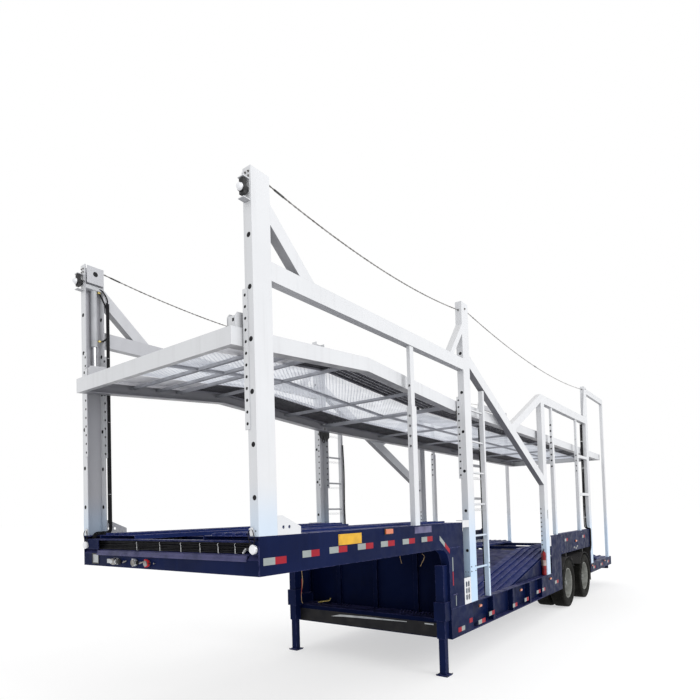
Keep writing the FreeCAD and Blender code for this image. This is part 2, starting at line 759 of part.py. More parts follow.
def make_hump():
    post_end = f"({LOWER_END} + hump_upright_length)"
    web = box("upright_web", (LOWER_END, post_end), (WEB_IN, SIDE), ("lower_beam_bottom", "hump_top"))
    flange = box("upright_flange", (f"{post_end} - flange_plate", post_end), (FLANGE_IN, WEB_IN),
                 ("lower_beam_bottom", "hump_top"))
    leg = box("hump_rear_leg", (f"{HUMP_END} - rear_upright_width", HUMP_END), (FLANGE_IN, SIDE),
              ("tail_bottom", HUMP_BOTTOM))
    both_sides("hump_uprights", [fuse("upright", [web, flange]), leg])
    beam = (post_end, HUMP_END)
    web = box("hump_web", beam, (WEB_IN, SIDE), (HUMP_BOTTOM, "hump_top"))
    top = box("hump_top_flange", beam, (FLANGE_IN, WEB_IN), ("hump_top - flange_plate", "hump_top"))
    low = box("hump_low_flange", beam, (FLANGE_IN, WEB_IN), (HUMP_BOTTOM, f"{HUMP_BOTTOM} + flange_plate"))
    both_sides("hump_side_beams", [fuse("hump_side", [web, top, low])])
    tail = (HUMP_END, TAIL_END)
    web = box("tail_web", tail, (WEB_IN, SIDE), ("tail_bottom", "tail_top"))
    top = box("tail_top_flange", tail, (FLANGE_IN, WEB_IN), ("tail_top - flange_plate", "tail_top"))
    low = box("tail_low_flange", tail, (FLANGE_IN, WEB_IN), ("tail_bottom", "tail_bottom + flange_plate"))
    both_sides("tail_side_beams", [fuse("tail_side", [web, top, low])])


def make_cross_members():
    last = f"{DESCENT} - hump_member_inset - floor_member_width"
    hump = spread(f"{RAMP_HEAD} + hump_member_inset", last, 3)
    slope = [f"({DESCENT} + descent_length / 3)"]
    tail = spread(f"{DESCENT} + descent_length + hump_member_inset", f"{TAIL_END} - floor_member_width", 2)
    rows = (
        # name, span of the floor line, stations, depth, reach
        ("hump", 2, hump, "hump_member_depth", WEB_IN),
        ("slope", 3, slope, "hump_member_depth", FLANGE_IN),
        ("tail", 4, tail, "floor_member_depth", FLANGE_IN),
    )
    members = make_lower_members()
    for name, span, stations, depth, reach in rows:
        for index, station in enumerate(stations):
            members.append(cross_member(f"{name}_member_{index}", FLOOR_LINE, span, station,
                                        "floor_member_width", "-track_depth", depth, (f"-{reach}", reach)))
    node("floor_cross_members", members)
    both_sides("chassis_rails", [box("rail", (RAMP_HEAD, HUMP_END), (f"{RAIL_OUT} - rail_width", RAIL_OUT),
                                     (RAIL_BOTTOM, f"{RAIL_BOTTOM} + rail_depth"))])


# ---------------------------------------------------------------- posts and upper frame

def lock_strips(name, stations, foot):
    """Flat bars on the post's two flanges that carry the deck's locking pins."""
    inner = f"({SIDE} - post_width - strip_inset)"
    return [box(f"{name}_strip_{index}", (station, f"{station} + strip_plate"),
                (inner, f"{inner} + strip_width"), (foot, f"{foot} + strip_length"))
            for index, station in enumerate(stations)]


def lock_post(name, station, foot, top, strip_foot, holes, reach):
    """A channel post with its two lock strips, and holes in the post and the strips."""
    post = channel_post(f"{name}_post", station, "post_depth", foot, top)
    strips = lock_strips(name, (f"{station} - strip_plate", f"{station} + post_depth"), strip_foot)
    tools = pin_holes(f"{name}_post", station, reach, f"{SIDE} - pin_hole_inset", holes, "pin_hole_radius")
    heights = rising(f"{strip_foot} + strip_hole_pitch / 2", "strip_hole_pitch", 12)
    tools += pin_holes(f"{name}_strip", f"{station} - strip_plate", "post_depth + 2 * strip_plate",
                       f"{SIDE} - post_width - strip_inset + strip_width / 2", heights, "strip_hole_radius")
    blank = fuse(f"{name}_post_blank", [post] + strips)
    both_sides(f"{name}_posts", [drilled(f"{name}_post_set", blank, tools)])


def make_posts():
    lock_post("front", "0", "neck_top", "front_post_top", "front_strip_bottom",
              rising("neck_top + front_hole_first", "front_hole_pitch", 6), "post_depth")
    lock_post("mid", MID_POST, "lower_beam_top", MID_POST_TOP, "mid_strip_bottom",
              rising("lower_beam_top + mid_hole_first", "mid_hole_pitch", 6), "post_plate")
    under_rail = "(rail_top_rear - rail_tube)"
    rows = (
        # name, station, foot, top
        ("neck", "neck_slim_station", "neck_top", "rail_top_front - rail_tube"),
        ("hump", f"({LOWER_END} + hump_slim_offset)", "hump_top", under_rail),
        ("wheel", f"({HUMP_END} - wheel_post_setback)", "hump_top", under_rail),
    )
    slims = [sleeve_post(f"{name}_slim_post", station, foot, top) for name, station, foot, top in rows]
    side = channel_post("side_post", SIDE_POST, "post_depth", "lower_beam_top", under_rail)
    both_sides("side_posts", [side] + slims)
    rear = channel_post("rear_post", HUMP_END, "post_depth", "tail_top", REAR_POST_TOP)
    tail = square_post("tail_post", TAIL_POST, "tail_post_depth", "tail_top", TAIL_POST_TOP)
    both_sides("rear_posts", [rear, tail])


DIAGONAL = [(MID_POST_END, "rail_top_front + diagonal_rise"), (SIDE_POST, "rail_top_front - diagonal_fall")]


def make_rails():
    across = (f"{SIDE} - post_width", SIDE)
    slim = (f"{SIDE} - slim_width", SIDE)
    rows = (
        # name, front, rear, top, depth, across
        ("front_rail", "post_depth", MID_POST, "rail_top_front", "rail_tube", across),
        ("rear_rail", SIDE_POST, HUMP_END, "rail_top_rear", "rail_tube", across),
        ("tail_bar", f"{HUMP_END} + post_depth", TAIL_POST, TAIL_POST_TOP, "top_bar_tube", slim),
    )
    both_sides("top_rails", [box(name, (front, rear), reach, (f"{top} - {depth}", top))
                             for name, front, rear, top, depth, reach in rows])
    diagonal = strip("diagonal", DIAGONAL, "0", "-diagonal_depth", across)
    brace_rise = "((front_post_top - rail_top_front) * brace_share)"
    brace_top = f"(rail_top_front + {brace_rise})"
    head_foot = f"({brace_top} - {brace_rise} * brace_head_share)"
    front_brace = prism("front_brace", "XZ", [(at("post_depth"), brace_top),
                                              (at("post_depth + brace_run"), "rail_top_front"),
                                              (at("post_depth + brace_run - brace_foot"), "rail_top_front"),
                                              (at("post_depth"), head_foot)], across)
    run = f"{MID_POST} - short_brace_run"
    head_foot = f"({brace_top} - {brace_rise} * short_brace_head_share)"
    short_brace = prism("short_brace", "XZ", [(at(MID_POST), brace_top),
                                              (at(MID_POST), head_foot),
                                              (at(f"{run} + short_brace_foot"), "rail_top_front"),
                                              (at(run), "rail_top_front")], across)
    foot = f"({SIDE_POST} - strut_run)"
    inner_foot = f"({foot} + strut_width)"
    strut = prism("strut", "XZ", [(at(SIDE_POST), "rail_top_rear"),
                                  (at(foot), height_on(DIAGONAL, 0, foot)),
                                  (at(inner_foot), height_on(DIAGONAL, 0, inner_foot)),
                                  (at(SIDE_POST), "rail_top_rear - rail_tube")], across)
    gusset = prism("rear_gusset", "XZ", [(at(HUMP_END), f"{REAR_POST_TOP} - rear_gusset_drop"),
                                         (at(HUMP_END), "rail_top_rear"),
                                         (at(f"{HUMP_END} - rear_gusset_run"), "rail_top_rear")],
                   (f"{SIDE} - post_plate", SIDE))
    both_sides("rail_braces", [front_brace, short_brace, strut, diagonal, gusset])


def make_ladders():
    station = f"({MID_POST_END} + ladder_width)"
    rear = f"({station} + ladder_rail)"
    top = f"({height_on(DIAGONAL, 0, rear)} - diagonal_depth - ladder_gap)"
    pieces = [box("ladder_side", (station, rear), (f"{SIDE} - slim_width", SIDE), ("lower_beam_top", top))]
    for index in range(6):
        level = f"(lower_beam_top + {index + 1} * rung_pitch)"
        pieces.append(round_bar(f"rung_{index}", "x", (at(station), f"{SIDE} - slim_width / 2", level),
                                "rung_radius", "ladder_width"))
    both_sides("ladders", [fuse("ladder", pieces)])


def make_brackets():
    """The plates that tie the posts to the chassis, and the rungs beside the rear posts."""
    level = "(neck_top - bracket_drop)"
    under = f"({SIDE} - post_width)"
    corners = [(under, level), (SIDE, level), (SIDE, f"{level} + bracket_depth"),
               (under, f"{level} + bracket_depth"), (under, f"{level} + bracket_depth - post_plate"),
               (f"{SIDE} - post_plate", f"{level} + bracket_depth - post_plate"),
               (f"{SIDE} - post_plate", f"{level} + post_plate"), (under, f"{level} + post_plate")]
    neck_bracket = prism("neck_bracket", "YZ", corners, (at(MID_POST), at("neck_length")))

    plate = (f"{SIDE} - post_plate", SIDE)
    step = box("step_blank", ("neck_length", MID_POST), plate,
               ("lower_beam_top", "lower_beam_top + step_plate_height"))
    tools = []
    for column in (1, 2):
        for row in (1, 2, 3):
            place = f"(neck_length + {column} * mid_post_gap / 3)"
            height = f"(lower_beam_top + {row} * step_plate_height / 4)"
            straight = "(step_hole_height - step_hole_width)"
            label = f"step_{column}_{row}"
            tools.append(box(f"{label}_middle",
                             (f"{place} - step_hole_width / 2", f"{place} + step_hole_width / 2"),
                             (f"{SIDE} - post_plate - 1", f"{SIDE} + 1"),
                             (f"{height} - {straight} / 2", f"{height} + {straight} / 2")))
            for end, sign in (("low", "-"), ("high", "+")):
                spot = (at(place), f"{SIDE} - post_plate - 1", f"{height} {sign} {straight} / 2")
                tools.append(round_bar(f"{label}_{end}", "y", spot, "step_hole_width / 2", "post_plate + 2"))
    step = drilled("step_plate", step, tools)

    corners = [(at("post_depth"), "neck_top"), (at("post_depth + gusset_length"), "neck_top"),
               (at("post_depth + gusset_length"), "neck_top + gusset_nose"),
               (at("post_depth + gusset_nose"), "neck_top + gusset_height"),
               (at("post_depth"), "neck_top + gusset_height")]
    tools = [round_bar(f"gusset_drill_{index}", "y",
                       (at(f"post_depth + {index} * gusset_length / 4"), f"{SIDE} - post_plate - 1",
                        "neck_top + gusset_nose"), "gusset_hole_radius", "post_plate + 2")
             for index in (1, 2)]
    gusset = drilled("front_gusset", prism("front_gusset_blank", "XZ", corners, plate), tools)

    top = "(hump_top - side_bracket_drop)"
    side_bracket = box("side_bracket", (f"{SIDE_POST} + post_depth", LOWER_END), (under, SIDE),
                       (f"{top} - side_bracket_depth", top))
    front = f"({HUMP_END} - wheel_post_setback + slim_depth)"
    rungs = [box(f"cross_{height}", (front, HUMP_END), (f"{SIDE} - slim_width", SIDE),
                 (f"hump_top + {height}", f"hump_top + {height} + cross_rung_tube"))
             for height in ("cross_rung_low", "cross_rung_high")]
    both_sides("post_brackets", [neck_bracket, step, gusset, side_bracket] + rungs)


# ---------------------------------------------------------------- upper decks

DECK_OUT = f"({SIDE} - deck_side_gap)"
FRONT_DECK_END = f"({MID_POST} + (post_depth - deck_gap) / 2)"
REAR_DECK_START = f"({MID_POST} + (post_depth + deck_gap) / 2)"
REAR_DECK_END = f"({TAIL_END} - rear_deck_setback)"
FRONT_DECK = [("-deck_overhang", "deck_front_top"), ("kink_station", "kink_top"),
              (FRONT_DECK_END, "front_deck_end_top")]
REAR_DECK = [(REAR_DECK_START, "rear_deck_start_top"), (REAR_DECK_END, "rear_deck_end_top")]
FRONT_PIN = f"({FRONT_DECK_END} - hinge_setback)"
REAR_PIN = f"({REAR_DECK_START} + hinge_setback)"
REAR_LIFT = f"({HUMP_END} + rear_lift_setback)"
FRONT_LIFT_HEIGHT = "(deck_front_top + front_lift_pin_rise)"
REAR_LIFT_HEIGHT = "(rear_deck_end_top - rear_lift_pin_drop)"


def end_beam(name, line, span, end, way):
    """The channel across a deck's free end, its web outward; the deck lies the given way from it."""
    spots = (end, f"({end} {way} deck_plate)", f"({end} {way} deck_end_beam)")
    outer, web, inner = (at(spot) for spot in spots)
    top = [height_on(line, span, spot) for spot in spots]
    low = [f"({height} - deck_beam_depth)" for height in top]
    corners = [(outer, top[0]), (inner, top[2]), (inner, f"{top[2]} - deck_plate"),
               (web, f"{top[1]} - deck_plate"), (web, f"{low[1]} + deck_plate"),
               (inner, f"{low[2]} + deck_plate"), (inner, low[2]), (outer, low[0])]
    reach = f"({DECK_OUT} - deck_plate)"
    node(f"{name}_end_beam", [prism(f"{name}_end_channel", "XZ", corners, (f"-{reach}", reach))])


def lift_lug():
    """The plate on the front deck's corner that carries the lifting pin."""
    front, rear = (f"(front_lift_station {sign} lug_width / 2)" for sign in "-+")
    crown = f"({FRONT_LIFT_HEIGHT} + lug_margin)"
    corners = [(at(front), height_on(FRONT_DECK, 0, front)), (at(rear), height_on(FRONT_DECK, 0, rear)),
               (at(rear), FRONT_LIFT_HEIGHT), (at("front_lift_station + lug_width / 4"), crown),
               (at("front_lift_station - lug_width / 4"), crown), (at(front), FRONT_LIFT_HEIGHT)]
    return prism("front_deck_lug", "XZ", corners, (f"{DECK_OUT} - lug_plate", DECK_OUT))


def make_deck(name, full_line, line, members, pins, lugs):
    """A deck: side beams and cross-members of folded plate, pins, sheet tracks and a mesh panel."""
    inner = f"({DECK_OUT} - deck_flange)"
    web = strip(f"{name}_web", full_line, "0", "-deck_beam_depth", (f"{DECK_OUT} - deck_plate", DECK_OUT))
    top = strip(f"{name}_top", line, "0", "-deck_plate", (inner, DECK_OUT))
    low = strip(f"{name}_low", line, "-deck_beam_depth + deck_plate", "-deck_beam_depth", (inner, DECK_OUT))
    both_sides(f"{name}_side_beams", [fuse(f"{name}_side", [web, top, low])])

    reach = f"({DECK_OUT} - deck_plate)"
    node(f"{name}_cross_members",
         [cross_member(f"{name}_member_{index}", full_line, span, station, "deck_member_width",
                       "-deck_track_depth", "deck_member_depth", (f"-{reach}", reach), "deck_member_plate")
          for index, (span, station) in enumerate(members)])

    bars = []
    for use, station, height, radius, end_gap in pins:
        bar = round_bar(f"{name}_{use}_pin", "y", (at(station), DECK_OUT, height), radius,
                        f"{SIDE} - post_plate - {end_gap} - {DECK_OUT}")
        bars.append(fuse(f"{name}_{use}_pin_set", [bar] + lugs.get(use, [])))
    both_sides(f"{name}_pins", bars)

    track = [strip(f"{name}_track_plate", line, "0", "-deck_track_plate", ("deck_track_inner", inner))]
    for part_name, start in (("inner", "deck_track_inner"), ("outer", f"({inner} - deck_track_plate)")):
        track.append(strip(f"{name}_track_{part_name}_fold", line, "0", "-deck_track_depth",
                           (start, f"{start} + deck_track_plate")))
    both_sides(f"{name}_tracks", [fuse(f"{name}_track", track)])
    node(f"{name}_mesh", [strip(f"{name}_mesh_panel", line, "-deck_track_depth + mesh_plate",
                                "-deck_track_depth", ("-deck_track_inner", "deck_track_inner"))])


def make_decks():
    ahead = spread("-deck_overhang", "kink_station - deck_member_width", 4)[1:]
    behind = spread("kink_station + deck_member_pitch", f"{FRONT_DECK_END} - deck_member_width", 3)
    start = "(-deck_overhang + deck_end_beam)"
    line = [(start, height_on(FRONT_DECK, 0, start))] + FRONT_DECK[1:]
    members = [(0, spot) for spot in ahead] + [(1, spot) for spot in behind]
    make_deck("front_deck", FRONT_DECK, line, members, (
        # use, station, height, radius, gap at the end
        ("hinge", FRONT_PIN, "hinge_height", "hinge_radius", "hinge_pin_end_gap"),
        ("lift", "front_lift_station", FRONT_LIFT_HEIGHT, "lift_pin_radius", "lift_pin_end_gap"),
    ), {"lift": [lift_lug()]})
    end_beam("front_deck", FRONT_DECK, 0, "(-deck_overhang)", "+")
    along = spread(REAR_DECK_START, f"{REAR_DECK_END} - deck_member_width", 12)[:-1]
    end = f"({REAR_DECK_END} - deck_end_beam)"
    line = REAR_DECK[:1] + [(end, height_on(REAR_DECK, 0, end))]
    make_deck("rear_deck", REAR_DECK, line, [(0, spot) for spot in along], (
        ("hinge", REAR_PIN, "hinge_height", "hinge_radius", "hinge_pin_end_gap"),
        ("lift", REAR_LIFT, REAR_LIFT_HEIGHT, "lift_pin_radius", "lift_pin_end_gap"),
    ), {})
    end_beam("rear_deck", REAR_DECK, 0, REAR_DECK_END, "-")


# ---------------------------------------------------------------- lift gear

BARREL_Y = f"({SIDE} - post_plate - barrel_side_gap - barrel_radius)"


def rod_between(name, middle, foot, length):
    return round_bar(name, "z", (at(middle), BARREL_Y, foot), "rod_radius", length)


def bored_barrel(name, middle, ends, bore_ends):
    body = round_bar(f"{name}_body", "z", (at(middle), BARREL_Y, ends[0]), "barrel_radius",
                     f"{ends[1]} - {ends[0]}")
    bore = round_bar(f"{name}_bore", "z", (at(middle), BARREL_Y, bore_ends[0]),
                     "rod_radius + rod_clearance", f"{bore_ends[1]} - {bore_ends[0]}")
    return cut(name, body, bore)


def make_front_lift():
    """A cylinder that hangs in the post; the deck's pin hangs in the slotted link on its rod."""
    middle = "(front_lift_station + front_rod_offset)"
    across = (f"{BARREL_Y} - rod_head_width / 2", f"{BARREL_Y} + rod_head_width / 2")
    half_slot = "(lift_pin_radius + rod_clearance)"
    link_top = f"({FRONT_LIFT_HEIGHT} + {half_slot} + link_margin)"
    link = box("link_blank", (f"{middle} - link_length / 2", f"{middle} + link_length / 2"), across,
               (f"{FRONT_LIFT_HEIGHT} - {half_slot} - link_margin", link_top))
    rod = rod_between("front_rod", middle, link_top, "front_rod_length")
    straight = f"(link_slot / 2 - {half_slot})"
    tools = [box("slot_middle", (f"{middle} - {straight}", f"{middle} + {straight}"),
                 (f"{across[0]} - 1", f"{across[1]} + 1"),
                 (f"{FRONT_LIFT_HEIGHT} - {half_slot}", f"{FRONT_LIFT_HEIGHT} + {half_slot}"))]
    for end, sign in (("front", "-"), ("rear", "+")):
        tools.append(round_bar(f"slot_{end}", "y", (at(f"{middle} {sign} {straight}"), f"{across[0]} - 1",
                                                    FRONT_LIFT_HEIGHT), half_slot, "rod_head_width + 2"))
    both_sides("front_lift_rods", [drilled("front_link", fuse("front_rod_set", [link, rod]), tools)])
    barrel = bored_barrel("front_barrel", middle, ("front_barrel_bottom", "front_barrel_top"),
                          ("front_barrel_bottom - 1", "front_barrel_top - flange_plate"))
    mount = box("front_barrel_mount", ("post_plate", "post_depth - post_plate"),
                (f"{SIDE} - post_width", f"{SIDE} - post_plate"),
                ("front_barrel_top", "front_barrel_top + barrel_mount_height"))
    return fuse("front_barrel_set", [barrel, mount])


def make_rear_lift():
    """A cylinder that stands in the post; the deck's pin lies on the head of its rod."""
    middle = f"({REAR_LIFT} - rear_rod_offset)"
    head_top = f"({REAR_LIFT_HEIGHT} - lift_pin_radius - rod_clearance)"
    head_foot = f"({head_top} - rod_head_height)"
    head = box("rear_rod_head", (f"{middle} - rod_head_length / 2", f"{middle} + rod_head_length / 2"),
               (f"{BARREL_Y} - rod_head_width / 2", f"{BARREL_Y} + rod_head_width / 2"),
               (head_foot, head_top))
    rod = rod_between("rear_rod", middle, f"({head_foot} - rear_rod_length)", "rear_rod_length")
    both_sides("rear_lift_rods", [fuse("rear_rod_set", [head, rod])])
    return bored_barrel("rear_barrel", middle, ("tail_top", "rear_barrel_top"),
                        ("tail_top + flange_plate", "rear_barrel_top + 1"))


def hinge_block():
    """The block in the mid post that both decks' hinge pins turn in."""
    block = box("hinge_block_blank", (f"{MID_POST} + post_plate", f"{MID_POST_END} - post_plate"),
                (f"{SIDE} - post_width", f"{SIDE} - post_plate"),
                ("hinge_height - hinge_block_height / 2", "hinge_height + hinge_block_height / 2"))
    for index, station in enumerate((FRONT_PIN, REAR_PIN)):
        bore = round_bar(f"hinge_bore_{index}", "y",
                         (at(station), f"{SIDE} - post_width - 1", "hinge_height"),
                         "hinge_radius + hinge_clearance", "post_width + 2")
        block = cut(f"hinge_block_{index}", block, bore)
    return block


# ---------------------------------------------------------------- running gear

def tyre(name, middle, axle):
    rows = (
        # share of the half width, radius
        ("0.76", "rim_radius + 2"), ("0.97", "rim_radius + 60"), ("1.0", "rim_radius + 100"),
        ("0.92", "tyre_radius - 22"), ("0.80", "tyre_radius"),
    )
    half = [(share, radius) for share, radius in rows]
    corners = [(f"{middle} + tyre_width / 2 * {share}", radius) for share, radius in half]
    corners += [(f"{middle} - tyre_width / 2 * {share}", radius) for share, radius in reversed(half)]
    sketch = outline(f"{name}_outline", "YZ", corners)
    return turned(name, sketch, axle)


def turned(name, sketch, axle):
    """A profile turned about the axle that runs along Y."""
    item = doc.addObject("Part::Revolution", f"{name}_turned")
    item.Source = sketch
    item.Axis = FreeCAD.Vector(0, 1, 0)
    item.Base = FreeCAD.Vector(0, 0, 0)
    item.Angle = 360
    item.Solid = True
    bind(item, "Placement.Base.x", at(axle))
    bind(item, "Placement.Base.z", "tyre_radius")
    return item


HUB_MIDDLE = f"({WHEEL_OUT} - twin_spacing / 2)"
FRONT_AXLE = f"({HUMP_END} - axle_setback)"
REAR_AXLE = f"({FRONT_AXLE} + axle_spacing)"


def make_wheels():
    for place, axle in (("front", FRONT_AXLE), ("rear", REAR_AXLE)):
        base = f"{place}_wheel"
        tyres = [tyre(f"{base}_{spot}_tyre", middle, axle)
                 for spot, middle in (("outer", WHEEL_OUT), ("inner", WHEEL_IN))]
        rim_half = "tyre_width / 2 * 0.76"
        corners = [(f"{WHEEL_OUT} + {rim_half}", "rim_radius + 2"),
                   (f"{WHEEL_OUT} + {rim_half}", "rim_radius - 14"),
                   (f"{HUB_MIDDLE} + disc_plate", "rim_radius - 40"),
                   (f"{HUB_MIDDLE} + disc_plate", "hub_radius"),
                   (f"{HUB_MIDDLE} + hub_length / 2", "hub_radius * 0.8"),
                   (f"{HUB_MIDDLE} + hub_length / 2", "spindle_radius + bearing_clearance"),
                   (f"{HUB_MIDDLE} - hub_length / 2", "spindle_radius + bearing_clearance"),
                   (f"{HUB_MIDDLE} - hub_length / 2", "drum_radius"),
                   (f"{HUB_MIDDLE} - disc_plate", "drum_radius"),
                   (f"{HUB_MIDDLE} - disc_plate", "rim_radius - 40"),
                   (f"{WHEEL_IN} - {rim_half}", "rim_radius - 14"),
                   (f"{WHEEL_IN} - {rim_half}", "rim_radius + 2")]
        sketch = outline(f"{base}_rim_outline", "YZ", corners)
        turned_rims = turned(f"{base}_rims", sketch, axle)
        holes = []
        for index in range(8):
            turn = math.tau * index / 8
            spot = (f"{at(axle)} + hand_hole_ring * {math.cos(turn):.5f}", f"{HUB_MIDDLE} - 2 * disc_plate",
                    f"tyre_radius + hand_hole_ring * {math.sin(turn):.5f}")
            holes.append(round_bar(f"{base}_hand_hole_{index}", "y", spot, "hand_hole_radius",
                                   "4 * disc_plate"))
        rims = drilled(f"{base}_rims_drilled", turned_rims, holes)
        node(f"{place}_left_tyres", tyres)
        node(f"{place}_left_rims", [rims])
        node(f"{place}_right_tyres",
             [mirror(f"{base}_twin_{index}", item) for index, item in enumerate(tyres)])
        node(f"{place}_right_rims", [mirror(f"{base}_rims_twin", rims)])


def make_axles():
    beams = []
    hub_inner = f"({HUB_MIDDLE} - hub_length / 2)"
    reach = f"({HUB_MIDDLE} + hub_length / 2 - spindle_inset)"
    for index, axle in enumerate((FRONT_AXLE, REAR_AXLE)):
        beam = box(f"axle_beam_{index}", (f"{axle} - axle_beam / 2", f"{axle} + axle_beam / 2"),
                   (f"-({hub_inner} - axle_beam_gap)", f"{hub_inner} - axle_beam_gap"),
                   ("tyre_radius - axle_beam / 2", "tyre_radius + axle_beam / 2"))
        spindle = round_bar(f"axle_spindle_{index}", "y", (at(axle), f"-{reach}", "tyre_radius"),
                            "spindle_radius", f"2 * {reach}")
        beams.append(fuse(f"axle_{index}", [beam, spindle]))
    node("axle_beams", beams)

    across = (f"{RAIL_OUT} - (rail_width + spring_width) / 2",
              f"{RAIL_OUT} - (rail_width - spring_width) / 2")
    seat = "(tyre_radius + axle_beam / 2)"
    springs = []
    hangers = []
    for index, axle in enumerate((FRONT_AXLE, REAR_AXLE)):
        end_height = f"{seat} + spring_leaf + spring_rise"
        low = f"{seat} + spring_leaf"
        line = [(f"{axle} - spring_half_length", end_height), (f"{axle} - spring_seat", low),
                (f"{axle} + spring_seat", low), (f"{axle} + spring_half_length", end_height)]
        springs.append(strip(f"spring_{index}", line, "0", "-spring_leaf", across))
        for end, sign in (("front", "-"), ("rear", "+")):
            middle = f"({axle} {sign} (spring_half_length + hanger_length / 2))"
            ends = (f"{middle} - hanger_length / 2", f"{middle} + hanger_length / 2")
            hangers.append(box(f"hanger_{index}_{end}", ends, across, (f"{seat} + spring_leaf", RAIL_BOTTOM)))
    both_sides("leaf_springs", [fuse("suspension", springs + hangers)])


def make_fenders():
    guards = []
    inner_side = f"({TYRE_IN} - fender_overlap)"
    for index, axle in enumerate((FRONT_AXLE, REAR_AXLE)):
        outer = doc.addObject("Part::Cylinder", f"fender_outer_{index}")
        inner = doc.addObject("Part::Cylinder", f"fender_inner_{index}")
        for item, radius in ((outer, "fender_radius + fender_plate"), (inner, "fender_radius")):
            item.Placement = FreeCAD.Placement(
                FreeCAD.Vector(), FreeCAD.Rotation(FreeCAD.Vector(1, 0, 0), -90)
                * FreeCAD.Rotation(FreeCAD.Vector(0, 0, 1), -145))
            item.Angle = 110
            bind(item, "Radius", radius)
            bind(item, "Height", f"{WEB_IN} - {inner_side}")
            bind(item, "Placement.Base.x", at(axle))
            bind(item, "Placement.Base.y", inner_side)
            bind(item, "Placement.Base.z", "tyre_radius")
        shell = cut(f"fender_{index}", outer, inner)
        stay = box(f"fender_stay_{index}",
                   (f"{axle} - fender_stay_width / 2", f"{axle} + fender_stay_width / 2"),
                   (FLANGE_IN, f"{FLANGE_IN} + fender_stay_depth"),
                   ("tyre_radius + fender_radius", HUMP_BOTTOM))
        guards.append(fuse(f"fender_set_{index}", [shell, stay]))
    both_sides("fenders", guards)
    flap_rear = f"({HUMP_END} - rear_upright_width)"
    flap = box("flap", (f"{flap_rear} - flap_plate", flap_rear), (inner_side, WEB_IN),
               ("flap_bottom", HUMP_BOTTOM))
    both_sides("mudflaps", [flap])


# ---------------------------------------------------------------- fittings

def make_lamps():
    """Marker lamps on brackets at the front posts' tops, and round ones at the neck's corners."""
    top = "(front_post_top - lamp_bracket_drop)"
    low = f"({top} - lamp_bracket_height)"
    front, plate = at("-lamp_bracket_reach"), "lamp_bracket_plate"
    corners = [(at(0), low), (front, low), (front, f"{low} + {plate}"), (at(f"-{plate}"), f"{low} + {plate}"),
               (at(f"-{plate}"), f"{top} - {plate}"), (front, f"{top} - {plate}"), (front, top), (at(0), top)]
    outer = f"({SIDE} - {plate})"
    bracket = prism("lamp_bracket", "XZ", corners, (f"{outer} - lamp_bracket_width", outer))
    both_sides("lamp_brackets", [bracket])
    lamp = round_bar("post_lamp", "x", (at(f"-{plate}"), f"{outer} - lamp_bracket_width / 2",
                                        f"{low} + lamp_bracket_height / 2"),
                     "post_lamp_radius", f"post_lamp_reach - {plate}")
    corner_lamp = round_bar("corner_lamp", "x", (at(0), f"{SIDE} - corner_lamp_inset",
                                                 "neck_top - corner_lamp_drop"),
                            "corner_lamp_radius", "corner_lamp_reach")
    both_sides("marker_lamps", [lamp, corner_lamp])


def make_couplings():
    """The air and light couplings on the front beam, for the tractor's hoses."""
    rows = (
        # name, Y, radius
        ("light_socket", -650, 30),
        ("air_coupling", -320, 28),
        ("supply_coupling", -125, 26),
    )
    node("couplings", [round_bar(name, "x", (at(0), across, f"{NECK_BOTTOM} + coupling_height"), radius,
                                 "coupling_reach") for name, across, radius in rows])


def make_underrun():
    """The guard under the tail, a channel that is open to the front."""
    rear, front = f"({TAIL_END} - underrun_inset)", f"({TAIL_END} - underrun_inset - underrun_tube)"
    inner = f"({rear} - underrun_plate)"
    low = "(tail_bottom - underrun_tube)"
    corners = [(at(rear), low), (at(front), low), (at(front), f"{low} + underrun_plate"),
               (at(inner), f"{low} + underrun_plate"), (at(inner), "tail_bottom - underrun_plate"),
               (at(front), "tail_bottom - underrun_plate"), (at(front), "tail_bottom"),
               (at(rear), "tail_bottom")]
    reach = f"({SIDE} - underrun_inset)"
    node("underrun_bar", [prism("underrun_channel", "XZ", corners, (f"-{reach}", reach))])


def make_extinguisher():
    """The fire extinguisher that stands on the side beam against the left-hand side post."""
    place = (at(f"({SIDE_POST} - extinguisher_radius)"), f"{LOWER_WEB} + extinguisher_radius")
    bottle = round_bar("bottle", "z", (*place, "lower_beam_top"), "extinguisher_radius",
                       "extinguisher_height")
    neck = round_bar("bottle_neck", "z", (*place, "lower_beam_top + extinguisher_height"),
                     "extinguisher_neck_radius", "extinguisher_neck_height")
    node("extinguisher", [fuse("extinguisher_set", [bottle, neck])])


